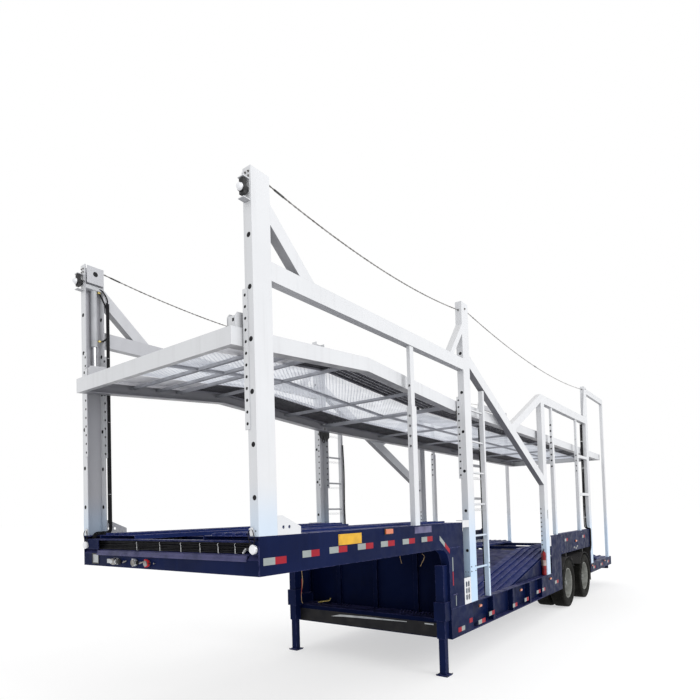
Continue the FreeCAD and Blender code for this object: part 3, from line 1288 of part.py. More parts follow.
def guard_wire(name, front, rear, height, sag):
    """A wire that hangs between two faces as an arc of a large circle."""
    span = f"(({rear}) - ({front}) - 2 * wire_end_gap)"
    bend = f"(({span}) ^ 2 / (8 * {sag}) + {sag} / 2)"
    sketch = doc.addObject("Sketcher::SketchObject", f"{name}_outline")
    sketch.Placement = FreeCAD.Placement(FreeCAD.Vector(), FreeCAD.Rotation(FreeCAD.Vector(1, 1, 1), 120))
    sketch.addGeometry(Part.Circle(FreeCAD.Vector(0, -number(bend), 0), FreeCAD.Vector(0, 0, 1),
                                   number("wire_radius")), False)
    rows = (("DistanceX", "0", 0.0), ("DistanceY", f"-{bend}", -number(bend)))
    for kind, formula, value in rows:
        mark = sketch.addConstraint(Sketcher.Constraint(kind, -1, 1, 0, 3, value))
        bind(sketch, f"Constraints[{mark}]", formula)
    mark = sketch.addConstraint(Sketcher.Constraint("Radius", 0, number("wire_radius")))
    bind(sketch, f"Constraints[{mark}]", "wire_radius")
    item = doc.addObject("Part::Revolution", name)
    item.Source = sketch
    item.Axis = FreeCAD.Vector(0, 1, 0)
    item.Symmetric = True
    item.Solid = True
    bind(item, "Angle", f"2 * asin({span} / (2 * {bend}))")
    bind(item, "Placement.Base.x", at(f"(({front}) + ({rear})) / 2"))
    bind(item, "Placement.Base.y", f"{SIDE} - wire_inset")
    bind(item, "Placement.Base.z", f"({height}) - {sag} + {bend}")
    return item


def make_wires():
    both_sides("guard_wires", [
        guard_wire("front_wire", "post_depth", MID_POST, "front_post_top - front_wire_drop",
                   "front_wire_sag"),
        guard_wire("rear_wire", MID_POST_END, HUMP_END, f"{MID_POST_TOP} - rear_wire_drop",
                   "rear_wire_sag"),
    ])


def make_hoses():
    """Three hoses, clipped down the right front post and along the front beam's recess."""
    across = f"(-({SIDE} - hose_inset))"
    pitch = "(2 * hose_radius + hose_gap)"
    highest = f"(neck_top + hose_radius + hose_gap + 2 * {pitch})"
    centre = ("(post_depth + strip_plate + hose_radius + hose_gap - hose_bend)", f"({highest} + hose_bend)")
    notch_bend = f"(hose_bend + 2 * {pitch})"
    turn = (f"(hose_notch_station + {notch_bend})", f"({highest} - {notch_bend})")
    hoses = []
    for index in range(3):
        name = f"hose_{index}"
        wide = f"(hose_bend + {index} * {pitch})"
        tight = f"({notch_bend} - {index} * {pitch})"
        level = f"(hose_low_height + {index} * {pitch})"
        down = f"({turn[0]} - {tight})"
        runs = (
            # part, axis, low end, length
            ("post_run", "z", (at(f"({centre[0]} + {wide})"), across, centre[1]), f"hose_top - {centre[1]}"),
            ("neck_run", "x", (at(centre[0]), across, f"{centre[1]} - {wide}"), f"{centre[0]} - {turn[0]}"),
            ("drop", "z", (at(down), across, f"{level} + hose_corner_bend"),
             f"{turn[1]} - {level} - hose_corner_bend"),
            ("beam_run", "y", (at(down), f"{across} + hose_corner_bend", level),
             f"hose_end - {across} - hose_corner_bend"),
        )
        bends = (
            # part, centre, start, end, bend
            ("foot", (at(centre[0]), across, centre[1]), (-1, 0, 0), (0, 0, -1), wide),
            ("notch", (at(turn[0]), across, turn[1]), (0, 0, 1), (1, 0, 0), tight),
            ("corner", (at(down), f"{across} + hose_corner_bend", f"{level} + hose_corner_bend"),
             (0, -1, 0), (0, 0, -1), "hose_corner_bend"),
        )
        pieces = [round_bar(f"{name}_{part}", axis, place, "hose_radius", length)
                  for part, axis, place, length in runs]
        pieces += [elbow(f"{name}_{part}", place, start, end, bend, "hose_radius")
                   for part, place, start, end, bend in bends]
        hoses.append(fuse(name, pieces))
    node("front_hoses", hoses)


make_neck()
make_columns()
make_bulkhead()
make_legs()
make_lower_frame()
wheel_tracks("floor_track", FLOOR_LINE)
make_floor_sheet()
make_hump()
make_cross_members()
make_posts()
make_rails()
make_ladders()
make_brackets()
make_decks()
both_sides("lift_gear", [make_front_lift(), make_rear_lift(), hinge_block()])
make_wheels()
make_axles()
make_fenders()
make_lamps()
make_couplings()
make_underrun()
make_extinguisher()
make_wires()
make_hoses()

doc.recompute()

for item in doc.Objects:
    if "Invalid" in item.State or "Error" in item.State:
        raise RuntimeError(f"{item.Label} could not be built: {item.State}")
for item in NODES:
    if item.Shape.isNull() or not item.Shape.isValid() or not item.Shape.Solids:
        raise RuntimeError(f"{item.Label} has no valid solid")

os.makedirs("parts", exist_ok=True)
for item in NODES:
    item.Shape.exportStep(os.path.join("parts", item.Label + ".step"))
    print(item.Label, len(item.Shape.Solids), round(item.Shape.Volume / 1e9, 4))
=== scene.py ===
import json
import math
import random
from itertools import product

import bpy
from mathutils import Matrix, Vector


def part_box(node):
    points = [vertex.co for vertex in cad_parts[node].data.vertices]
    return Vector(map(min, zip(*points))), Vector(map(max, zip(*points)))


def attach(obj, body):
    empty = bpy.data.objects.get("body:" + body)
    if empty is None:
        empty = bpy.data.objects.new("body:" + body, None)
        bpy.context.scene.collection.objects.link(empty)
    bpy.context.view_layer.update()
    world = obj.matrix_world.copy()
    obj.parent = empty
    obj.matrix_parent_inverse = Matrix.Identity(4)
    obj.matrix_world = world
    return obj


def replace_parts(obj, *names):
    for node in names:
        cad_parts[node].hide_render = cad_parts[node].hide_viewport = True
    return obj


# Looks of the double-deck car transporter semi-trailer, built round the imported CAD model.
# Metres, +X forward, +Y left, +Z up. A station is the distance behind the gooseneck's front face.

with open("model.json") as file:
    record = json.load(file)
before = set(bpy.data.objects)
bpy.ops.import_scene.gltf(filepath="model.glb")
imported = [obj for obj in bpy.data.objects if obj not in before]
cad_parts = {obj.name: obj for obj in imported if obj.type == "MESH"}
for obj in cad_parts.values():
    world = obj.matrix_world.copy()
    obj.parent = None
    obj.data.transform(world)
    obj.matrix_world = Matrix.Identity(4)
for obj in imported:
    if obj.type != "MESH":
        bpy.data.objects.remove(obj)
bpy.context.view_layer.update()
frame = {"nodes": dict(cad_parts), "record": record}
random.seed(7)

_, NECK_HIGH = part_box("neck_side_beams")
_, LOWER_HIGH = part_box("lower_side_beams")
_, FRONT_POST_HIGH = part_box("front_posts")
SIDE_Y = NECK_HIGH.y
AHEAD, LEFT, UP = (1, 0, 0), (0, 1, 0), (0, 0, 1)
SIDES = (1, -1)  # left and right
MID_POST, SIDE_POST = 3.728, 6.989  # stations of the posts' front faces
LAMP_Y, LAMP_Z = 1.214, 4.3665  # the round lamps up on the front posts


def at(station):
    """The X of a station."""
    return NECK_HIGH.x - station


# ---------------- camera, light, floor

CAMERA_PLACE = (-2.781, 4.076, 1.937)  # station, Y and height
CAMERA_TURN = (37.853, 1.875, -1.571)  # yaw, pitch and roll in degrees
CAMERA_LENS = 27.7032  # in millimetres
CAMERA_SENSOR = 36
CAMERA_SHIFT = (0.028913, 0.208764)  # as shares of the picture's width


def make_camera():
    """A camera that stands before the trailer's left front corner."""
    yaw, pitch, roll = (math.radians(angle) for angle in CAMERA_TURN)
    look = -Vector((math.cos(yaw) * math.cos(pitch), math.sin(yaw) * math.cos(pitch), -math.sin(pitch)))
    level = Vector((-math.sin(yaw), math.cos(yaw), 0))
    rise = level.cross(look)
    right = level * math.cos(roll) + rise * math.sin(roll)
    up = rise * math.cos(roll) - level * math.sin(roll)
    data = bpy.data.cameras.new("camera")
    data.sensor_width = CAMERA_SENSOR
    data.lens = CAMERA_LENS
    data.shift_x, data.shift_y = CAMERA_SHIFT
    data.clip_end = 200
    camera = bpy.data.objects.new("camera", data)
    bpy.context.collection.objects.link(camera)
    station, across, height = CAMERA_PLACE
    turn = Matrix((right, up, -look)).transposed().to_4x4()
    camera.matrix_world = Matrix.Translation((at(station), across, height)) @ turn
    bpy.context.scene.camera = camera


FLOOR_SIZE = 400
FLOOR_GREY, FLOOR_GLOW = 0.48, 0.54
PURE_WHITE = (1, 1, 1, 1)
LAMPS = (
    # name, place, aims at, width, watts
    ("key", (3, 19, 12), (0, 0, 2), 9, 1500),
    ("front", (20, -6, 8), (0, 0, 2), 10, 60),
)


def make_stage():
    """A plain pale floor, a white surround and soft lamps."""
    bpy.ops.mesh.primitive_plane_add(size=FLOOR_SIZE)
    floor = bpy.context.object
    floor.name = "floor"
    paint = bpy.data.materials.new("floor")
    paint.use_nodes = True
    inputs = paint.node_tree.nodes["Principled BSDF"].inputs
    inputs["Base Color"].default_value = (FLOOR_GREY, FLOOR_GREY, FLOOR_GREY, 1)
    inputs["Roughness"].default_value = 1.0
    inputs["Specular IOR Level"].default_value = 0.0
    inputs["Emission Color"].default_value = PURE_WHITE
    inputs["Emission Strength"].default_value = FLOOR_GLOW
    floor.data.materials.append(paint)
    world = bpy.data.worlds.new("surround")
    world.use_nodes = True
    surround = world.node_tree.nodes["Background"].inputs
    surround["Color"].default_value = PURE_WHITE
    surround["Strength"].default_value = 1.0
    bpy.context.scene.world = world
    bpy.context.scene.view_settings.view_transform = "Standard"
    for name, place, aim, width, watts in LAMPS:
        data = bpy.data.lights.new(name, "AREA")
        data.size = width
        data.energy = watts
        lamp = bpy.data.objects.new(name, data)
        bpy.context.collection.objects.link(lamp)
        lamp.location = place
        lamp.rotation_euler = (Vector(aim) - Vector(place)).to_track_quat("-Z", "Y").to_euler()


# ---------------- materials

class Look:
    """A procedural material that is built up layer by layer on its colour."""

    def __init__(self, name, colour, roughness, metallic=0.0, coat=0.0, shine=0.3):
        self.material = bpy.data.materials.new(name)
        self.material.use_nodes = True
        self.tree = self.material.node_tree
        self.shader = self.tree.nodes["Principled BSDF"]
        self.fill(self.shader, {"Metallic": metallic, "Coat Weight": coat, "Coat Roughness": 0.15,
                                "Specular IOR Level": shine})
        self.coords = self.add("ShaderNodeTexCoord", {}).outputs["Object"]
        self.normal = self.add("ShaderNodeNewGeometry", {}).outputs["Normal"]
        self.colour = (*colour, 1)
        self.rough = roughness

    def fill(self, node, inputs):
        """Each input takes a value, or a link from what another node gives."""
        for key, value in inputs.items():
            if isinstance(value, bpy.types.NodeSocket):
                self.tree.links.new(value, node.inputs[key])
            else:
                node.inputs[key].default_value = value
        return node

    def add(self, kind, inputs, **settings):
        made = self.tree.nodes.new(kind)
        for key, value in settings.items():
            setattr(made, key, value)
        return self.fill(made, inputs)

    def noise(self, scale, detail=4.0, stretch=(1, 1, 1)):
        mapping = self.add("ShaderNodeMapping", {"Vector": self.coords, "Scale": stretch})
        inputs = {"Vector": mapping.outputs["Vector"], "Scale": scale, "Detail": detail}
        return self.add("ShaderNodeTexNoise", inputs).outputs["Fac"]

    def ramp(self, value, low, high, to_low=0.0, to_high=1.0):
        inputs = {"Value": value, "From Min": low, "From Max": high, "To Min": to_low, "To Max": to_high}
        return self.add("ShaderNodeMapRange", inputs, interpolation_type="SMOOTHSTEP").outputs["Result"]

    def times(self, first, second):
        return self.add("ShaderNodeMath", {0: first, 1: second}, operation="MULTIPLY").outputs["Value"]

    def part(self, vector, axis):
        """One of the three parts of a vector."""
        return self.add("ShaderNodeSeparateXYZ", {"Vector": vector}).outputs[axis]

    def blend(self, colour, factor):
        """Lays a colour over what is there, as far as the factor says."""
        inputs = {"Factor": factor, "A": self.colour, "B": (*colour, 1)}
        self.colour = self.add("ShaderNodeMix", inputs, data_type="RGBA").outputs["Result"]
        return self

    def patchy(self, colour, scale, amount):
        return self.blend(colour, self.ramp(self.noise(scale), 0.35, 0.7, 0, amount))

    def streaks(self, colour, amount):
        """Marks that run down the faces."""
        return self.blend(colour, self.ramp(self.noise(16, 5, (1, 1, 0.05)), 0.5, 0.78, 0, amount))

    def dust_and_top_highlight(self, colour, amount):
        """Dust on what faces up; on the navy paint, a painted highlight on what faces up."""
        up = self.ramp(self.part(self.normal, "Z"), 0.3, 0.95)
        return self.blend(colour, self.times(up, self.ramp(self.noise(5, 6), 0.3, 0.75, 0.15, amount)))

    def under(self, colour, amount):
        """Painted shade on what faces down."""
        return self.blend(colour, self.ramp(self.part(self.normal, "Z"), -0.9, -0.4, amount, 0))

    def inner(self, colour, amount):
        """Painted shade on what faces the middle of the trailer."""
        across = self.times(self.part(self.normal, "Y"), self.part(self.coords, "Y"))
        return self.blend(colour, self.ramp(across, -0.9, -0.4, amount, 0))

    def tinge(self, colour, low, high, amount):
        """A colour that fades out between two heights."""
        return self.blend(colour, self.ramp(self.part(self.coords, "Z"), low, high, amount, 0))

    def lattice(self, colour, pitch):
        """A fine pattern of cells, as in reflective sheet and moulded lenses."""
        inputs = {"Vector": self.coords, "Scale": 1 / pitch, "Randomness": 0.2}
        cells = self.add("ShaderNodeTexVoronoi", inputs, feature="DISTANCE_TO_EDGE")
        return self.blend(colour, self.ramp(cells.outputs["Distance"], 0.02, 0.1, 1, 0))

    def worn_and_highlit_edges(self, colour, width, amount):
        """Edges in their own colour, found where the rounded normal turns away from the true one: rubbed
        edges on most finishes, a painted highlight on the navy paint.
        """
        bevel = self.add("ShaderNodeBevel", {"Radius": width}, samples=4)
        dot = self.add("ShaderNodeVectorMath", {0: bevel.outputs["Normal"], 1: self.normal},
                       operation="DOT_PRODUCT")
        edge = self.ramp(dot.outputs["Value"], 0.8, 0.99, amount, 0)
        return self.blend(colour, self.times(edge, self.ramp(self.noise(22, 5), 0.35, 0.6)))

    def relief(self, scale, depth, detail=3.0):
        """Small bumps; the depth is in metres."""
        bump = self.add("ShaderNodeBump", {"Distance": depth, "Height": self.noise(scale, detail)})
        self.fill(self.shader, {"Normal": bump.outputs["Normal"]})
        return self

    def done(self, spread=0.12):
        """The material, its roughness spread about its own value."""
        rough = self.ramp(self.noise(8, 5), 0.3, 0.7, max(0.02, self.rough - spread),
                          min(1, self.rough + spread))
        self.fill(self.shader, {"Base Color": self.colour, "Roughness": rough})
        return self.material


DUST = (0.2, 0.19, 0.18)
PALE_BLUE = (0.34, 0.58, 0.86)
NAVY = (0.003, 0.007, 0.036)
WHITE = (0.64, 0.65, 0.67)


def navy_paint(name, lighter=1.0, edges=0.7, shine=0.05):
    look = Look(name, [part * lighter for part in NAVY], 0.45, shine=shine)
    look.patchy([part * 1.5 * lighter for part in NAVY], 1.8, 0.8)
    look.streaks([part * 2 * lighter for part in NAVY], 0.3)
    # The lavender on the navy's upward faces is a painted highlight.
    look.dust_and_top_highlight((0.075, 0.075, 0.2), 0.6)
    # The lavender edges of the navy are a painted highlight.
    look.worn_and_highlit_edges((0.12, 0.12, 0.28), 0.008, edges)
    return look.relief(60, 0.0006).done()


def white_paint(name, foot=None, blue=0.8, reach=0.55, inside=0.45, below=0.65):
    look = Look(name, WHITE, 0.45, coat=0.1)
    look.patchy((0.6, 0.61, 0.63), 1.6, 0.6)
    look.streaks((0.46, 0.46, 0.47), 0.25)
    look.dust_and_top_highlight((0.52, 0.51, 0.49), 0.35)
    # Painted shade: darker grey on the faces that look towards the middle.
    look.inner((0.27, 0.27, 0.3), inside)
    # Painted shade: dark grey on the faces that look down.
    look.under((0.13, 0.13, 0.145), below)
    if foot is not None:
        look.tinge(PALE_BLUE, foot + 0.02, foot + reach, blue)
    look.worn_and_highlit_edges((0.36, 0.36, 0.38), 0.005, 0.5)
    return look.relief(80, 0.0005).done()


LAYERED_LOOKS = (
    # finish, material, colour, roughness, metallic, shine, layers with what they take
    ("deck_sheet", "deck_sheet", (0.26, 0.26, 0.3), 0.5, 0.2, 0.3, (
        ("patchy", (0.17, 0.17, 0.2), 3, 0.9), ("streaks", (0.11, 0.11, 0.14), 0.4),
        ("worn_and_highlit_edges", (0.6, 0.6, 0.64), 0.004, 0.6), ("relief", 90, 0.0008))),
    ("mesh", "deck_mesh", (0.74, 0.77, 0.83), 0.4, 0.2, 0.3, (
        ("patchy", (0.55, 0.58, 0.64), 4, 0.8), ("relief", 120, 0.0004))),
    ("black", "chassis_black", (0.01, 0.01, 0.013), 0.55, 0.0, 0.15, (
        ("patchy", (0.02, 0.019, 0.019), 5, 0.8), ("dust_and_top_highlight", DUST, 0.35),
        ("worn_and_highlit_edges", (0.1, 0.1, 0.1), 0.005, 0.4), ("relief", 70, 0.0008))),
    ("steel", "greased_steel", (0.32, 0.31, 0.3), 0.35, 0.9, 0.3, (
        ("patchy", (0.1, 0.09, 0.08), 9, 0.8), ("relief", 150, 0.0003))),
    ("barrel", "barrel_grey", (0.48, 0.49, 0.51), 0.45, 0.0, 0.3, (
        ("patchy", (0.36, 0.37, 0.39), 5, 0.8), ("streaks", (0.2, 0.2, 0.2), 0.4),
        ("relief", 90, 0.0005))),
    ("tyre", "tyre_rubber", (0.007, 0.007, 0.006), 0.75, 0.0, 0.08, (
        ("patchy", (0.015, 0.015, 0.013), 6, 0.9), ("worn_and_highlit_edges", (0.05, 0.049, 0.043), 0.004, 0.5),
        ("relief", 140, 0.001, 6))),
    ("rim", "rim_grey", (0.3, 0.31, 0.29), 0.5, 0.2, 0.3, (
        ("patchy", (0.19, 0.19, 0.175), 9, 0.9), ("worn_and_highlit_edges", (0.48, 0.48, 0.46), 0.004, 0.6),
        ("relief", 120, 0.0006))),
    ("plastic", "black_plastic", (0.016, 0.016, 0.018), 0.5, 0.0, 0.3, (
        ("patchy", (0.03, 0.03, 0.03), 7, 0.8), ("dust_and_top_highlight", DUST, 0.35), ("relief", 200, 0.0003))),
    ("rubber", "flap_rubber", (0.012, 0.012, 0.012), 0.7, 0.0, 0.3, (
        ("patchy", (0.045, 0.042, 0.038), 4, 0.8), ("streaks", (0.08, 0.075, 0.07), 0.4),
        ("relief", 100, 0.001))),
)
PLAIN_LOOKS = (
    # name, colour, roughness, metallic, colour of its patches, size of its bumps
    # navy_lit is a lighter copy of the navy paint: a painted highlight.
    ("navy_lit", (0.05, 0.05, 0.14), 0.45, 0.0, (0.01, 0.014, 0.06), 0.0004),
    ("label_faded", (0.115, 0.11, 0.21), 0.5, 0.0, (0.035, 0.035, 0.09), 0.0002),
    ("slot_dark", (0.03, 0.03, 0.036), 0.6, 0.0, (0.055, 0.055, 0.064), 0.0003),
    ("dark_steel", (0.1, 0.1, 0.1), 0.45, 0.7, (0.045, 0.043, 0.04), 0.0003),
    ("deck_bar", (0.42, 0.43, 0.47), 0.45, 0.2, (0.3, 0.31, 0.34), 0.0003),
    ("deck_silver", (0.8, 0.8, 0.82), 0.4, 0.0, (0.66, 0.66, 0.69), 0.0003),
    # A near-black finish for discs and slots that paint the shade inside holes.
    ("hole_dark", (0.012, 0.012, 0.014), 0.7, 0.0, (0.02, 0.02, 0.022), 0.0002),
    ("hub", (0.2, 0.21, 0.2), 0.45, 0.4, (0.11, 0.11, 0.1), 0.0003),
    ("hose", (0.006, 0.006, 0.008), 0.5, 0.0, (0.014, 0.014, 0.015), 0.0002),
    ("tie_white", (0.7, 0.71, 0.72), 0.5, 0.0, (0.55, 0.55, 0.55), 0.0001),
    ("brass", (0.62, 0.5, 0.18), 0.35, 0.8, (0.42, 0.33, 0.12), 0.0002),
    ("socket_grey", (0.52, 0.54, 0.56), 0.35, 0.6, (0.36, 0.37, 0.38), 0.0002),
    ("head_red", (0.48, 0.012, 0.016), 0.5, 0.0, (0.34, 0.01, 0.013), 0.0002),
    ("red", (0.26, 0.01, 0.014), 0.5, 0.0, (0.16, 0.008, 0.011), 0.0001),
    ("label_pale", (0.42, 0.34, 0.31), 0.6, 0.0, (0.3, 0.2, 0.19), 0.0001),
    ("plate_yellow", (0.66, 0.37, 0.025), 0.5, 0.0, (0.5, 0.27, 0.02), 0.0002),
    ("plate_silver", (0.42, 0.44, 0.45), 0.4, 0.7, (0.3, 0.31, 0.32), 0.0002),
    ("wire_tan", (0.42, 0.3, 0.16), 0.5, 0.0, (0.3, 0.2, 0.1), 0.0001),
    ("wire_red", (0.34, 0.06, 0.05), 0.5, 0.0, (0.22, 0.04, 0.04), 0.0001),
)
TAPE_LOOKS = (
    # name, colour, colour of its faint lattice
    ("tape_white", (0.3, 0.33, 0.325), (0.22, 0.25, 0.25)),
    ("tape_red", (0.33, 0.014, 0.028), (0.24, 0.012, 0.022)),
)
LENS_LOOKS = (
    # name, colour, glow through the lens
    ("amber", (0.55, 0.13, 0.045), 0.06),
    ("lens_red", (0.5, 0.015, 0.015), 0.05),
    ("lens_clear", (0.8, 0.81, 0.84), 0.0),
)


def make_materials():
    """The finishes, by a plain name."""
    made = {
        "navy": navy_paint("navy_paint"),
        # A lighter copy of the navy paint: a painted highlight for the floors' sheen.
        "navy_floor_highlight": navy_paint("navy_floor_highlight", 2.6, 0.9, 0.1),
        # A darker copy of the navy paint: painted shade for the bay behind the legs.
        "navy_shade": navy_paint("navy_bay_painted_shade", 0.6, 0.4, 0.02),
        "white": white_paint("white_paint"),
        "white_front": white_paint("white_front_posts", NECK_HIGH.z, 0.3, 0.45, 0.65),
        "white_mid": white_paint("white_mid_posts", LOWER_HIGH.z, 0.6, 1.2),
        "white_side": white_paint("white_side_posts", LOWER_HIGH.z, 0.45, 1.0),
        # The deck side beams and the rail braces take more of the painted shade on their inner and lower
        # faces.
        "deck_white": white_paint("deck_white", inside=0.9, below=0.9),
        "brace_white": white_paint("brace_white", inside=0.3, below=0.95),
    }
    for finish, name, colour, rough, metallic, shine, layers in LAYERED_LOOKS:
        look = Look(name, colour, rough, metallic, shine=shine)
        for layer, *taken in layers:
            getattr(look, layer)(*taken)
        made[finish] = look.done()
    chrome = Look("rod_chrome", (0.75, 0.75, 0.77), 0.12, 1.0)
    made["chrome"] = chrome.patchy((0.6, 0.6, 0.62), 7, 0.5).done(0.05)
    for name, colour, rough, metallic, patches, bumps in PLAIN_LOOKS:
        look = Look(name, colour, rough, metallic, shine=0.15 if max(colour) < 0.02 else 0.3)
        made[name] = look.patchy(patches, 9, 0.8).relief(160, bumps).done()
    for name, colour, lattice in TAPE_LOOKS:
        look = Look(name, colour, 0.5, shine=0.12)
        made[name] = look.lattice(lattice, 0.012).patchy(lattice, 6, 0.5).done()
    for name, colour, glow in LENS_LOOKS:
        look = Look(name, colour, 0.18, coat=0.8)
        look.fill(look.shader, {"Emission Color": (*colour, 1), "Emission Strength": glow})
        made[name] = look.lattice([part * 0.75 for part in colour], 0.006).done(0.06)
    return made


NODE_LOOKS = {
    # slot of the record: finish
    "chassis_paint": "navy",
    "post_paint": "white",
    "running_gear_paint": "black",
    "lift_paint": "barrel",
    "bare_steel": "steel",
    "deck_sheet": "deck_sheet",
    "deck_mesh": "mesh",
    "rod_steel": "chrome",
    "tyre_rubber": "tyre",
    "rim_paint": "rim",
    "fender_plastic": "plastic",
    "flap_rubber": "rubber",
    "lamp_lens": "lens_clear",
    "hose_rubber": "hose",
    "fitting_metal": "steel",
    "extinguisher_red": "red",
}
OWN_LOOKS = {
    # node: finish
    "front_posts": "white_front",
    "mid_posts": "white_mid",
    "side_posts": "white_side",
    "rear_posts": "white_side",
    "ladders": "white_side",
    "floor_tracks": "navy_floor_highlight",
    "neck_tracks": "navy_floor_highlight",
    "neck_bulkhead": "navy_shade",
    "neck_cross_members": "navy_shade",
    "front_deck_side_beams": "deck_white",
    "rear_deck_side_beams": "deck_white",
    "rail_braces": "brace_white",
}


def dress_nodes():
    """Every CAD node gets its finish."""
    slots = {entry["node"]: entry["material_slot"] for entry in frame["record"]["subparts"]}
    for name, item in frame["nodes"].items():
        finish = OWN_LOOKS.get(name, NODE_LOOKS.get(slots.get(name), "navy"))
        for slot in item.material_slots:
            slot.material = LOOKS[finish]


make_camera()
make_stage()
LOOKS = make_materials()
dress_nodes()


# ---------------- pieces

SHARP_ANGLE = 40
BEND_STEPS = 8
BLOCK_FACES = ((0, 1, 3, 2), (4, 6, 7, 5), (0, 4, 5, 1), (2, 3, 7, 6), (0, 2, 6, 4), (1, 5, 7, 3))


class Shape:
    """Collects plain solids in one mesh, which becomes a piece that rides on a body."""

    def __init__(self):
        self.points = []
        self.faces = []

    def solid(self, points, faces):
        start = len(self.points)
        self.points += [Vector(point) for point in points]
        self.faces += [tuple(start + index for index in face) for face in faces]
        return self

    def skin(self, rings, closed=False):
        """A solid through rings of as many points each, with two end caps or closed on itself."""
        count, total = len(rings[0]), len(rings)
        faces = []
        for index in range(total if closed else total - 1):
            here, there = index * count, (index + 1) % total * count
            for i in range(count):
                j = (i + 1) % count
                faces.append((here + i, here + j, there + j, there + i))
        if not closed:
            faces += [tuple(range(count))[::-1], tuple(range((total - 1) * count, total * count))]
        return self.solid([point for ring in rings for point in ring], faces)

    def box(self, low, high, tilt=0, axis="Z", about=None):
        """A block between two corners, tilted by degrees about its middle or another point."""
        middle = Vector(about or (Vector(low) + Vector(high)) / 2)
        turn = Matrix.Rotation(math.radians(tilt), 3, axis)
        corners = [middle + turn @ (Vector(corner) - middle) for corner in product(*zip(low, high))]
        return self.solid(corners, BLOCK_FACES)

    def block(self, stations, across, heights, tilt=0, axis="Z"):
        """A block between two stations, front one first, two Y and two heights."""
        (front, rear), (right, left), (foot, top) = stations, across, heights
        return self.box((at(rear), right, foot), (at(front), left, top), tilt, axis)

    def plate(self, outline, across):
        """An outline of (station, height) pairs pushed out over a span of Y."""
        return self.skin([[(at(station), y, height) for station, height in outline] for y in across])

    def strip(self, line, top, low, across):
        """A plate between two heights measured from a line of (station, height)."""
        upper = [(station, height + top) for station, height in line]
        lower = [(station, height + low) for station, height in reversed(line)]
        return self.plate(upper + lower, across)

    def lathe(self, profile, centre, axis, steps):
        """A closed outline of (along, radius) pairs turned about an axis."""
        axes = perpendiculars(axis)
        way = Vector(axis).normalized()
        rings = []
        for step in range(steps):
            out = around(axes, step / steps)
            rings.append([Vector(centre) + way * along + out * radius for along, radius in profile])
        return self.skin(rings[::-1], closed=True)

    def tube(self, route, radius, steps=10, strand=0.0, turns=0.0):
        """A round line along a route; with a strand it winds about the route like a rope's strand."""
        route = [Vector(point) for point in route]
        first, _ = perpendiculars(route[1] - route[0])
        last = len(route) - 1
        rings = []
        for index, place in enumerate(route):
            along = (route[min(index + 1, last)] - route[max(index - 1, 0)]).normalized()
            first = (first - along * first.dot(along)).normalized()
            axes = (first, along.cross(first))
            middle = place + around(axes, turns * index / last) * strand
            rings.append([middle + around(axes, step / steps) * radius for step in range(steps)])
        return self.skin(rings)

    def rod(self, start, end, radius, steps=16):
        return self.tube((start, end), radius, steps)

    def bar(self, stations, across, heights, radius, steps=16):
        """A rod given as a block is; a single number holds for both of its ends."""
        spans = [span if isinstance(span, tuple) else (span, span) for span in (stations, across, heights)]
        start, end = ((at(station), y, height) for station, y, height in zip(*spans))
        return self.rod(start, end, radius, steps)

    def pin(self, centre, half, radius, steps=16):
        """A rod that reaches as far to both sides of its middle."""
        centre, half = Vector(centre), Vector(half)
        return self.rod(centre - half, centre + half, radius, steps)

    def ribbon(self, route, width, thickness):
        """A flat bar along a route, its width across it in the level plane."""
        route = [Vector(point) for point in route]
        last = len(route) - 1
        rise = Vector((0, 0, thickness / 2))
        rings = []
        for index, place in enumerate(route):
            along = route[min(index + 1, last)] - route[max(index - 1, 0)]
            side = Vector((-along.y, along.x, 0)).normalized() * (width / 2)
            rings.append([place - side + rise, place + side + rise, place + side - rise, place - side - rise])
        return self.skin(rings)

    def nut(self, centre, axis, size, height):
        """A hexagon with a washer under it and a short threaded end."""
        centre, rise = Vector(centre), Vector(axis).normalized() * height
        self.rod(centre, centre + rise * 0.2, size * 0.85, 20)
        self.rod(centre + rise * 0.2, centre + rise, size * 0.62, 6)
        return self.rod(centre + rise, centre + rise * 1.5, size * 0.3, 12)

    def torus(self, centre, axis, radius, thickness, steps=24, rounds=8):
        axes = perpendiculars(axis)
        route = [Vector(centre) + around(axes, step / steps) * radius for step in range(steps + 1)]
        return self.tube(route, thickness, rounds)

    def piece(self, name, slot, look, body="chassis", smooth=False, bevel=0.0):
        mesh = bpy.data.meshes.new(name)
        mesh.from_pydata([tuple(point) for point in self.points], [], self.faces)
        mesh.materials.append(LOOKS[look])
        item = bpy.data.objects.new(name, mesh)
        bpy.context.collection.objects.link(item)
        if bevel:
            edge = item.modifiers.new("edges", "BEVEL")
            edge.width = bevel
            edge.segments = 2
            edge.limit_method = "ANGLE"
        if smooth:
            mesh.shade_smooth()
            mesh.set_sharp_from_angle(angle=math.radians(SHARP_ANGLE))
            item.modifiers.new("smooth", "WEIGHTED_NORMAL").keep_sharp = True
        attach(item, body)
        return item

    def pair(self, *args, **settings):
        """A piece with the same solids on the other side as well."""
        count = len(self.points)
        self.points += [Vector((p.x, -p.y, p.z)) for p in self.points]
        self.faces += [tuple(count + index for index in face)[::-1] for face in self.faces]
        return self.piece(*args, **settings)


def perpendiculars(way):
    """Two unit vectors square to a direction and to each other."""
    way = Vector(way).normalized()
    other = Vector(UP if abs(way.z) < 0.9 else AHEAD)
    first = way.cross(other).normalized()
    return first, way.cross(first).normalized()


def around(axes, share):
    """The unit vector at a share of the full turn from the first axis to the second and on."""
    return axes[0] * math.cos(math.tau * share) + axes[1] * math.sin(math.tau * share)


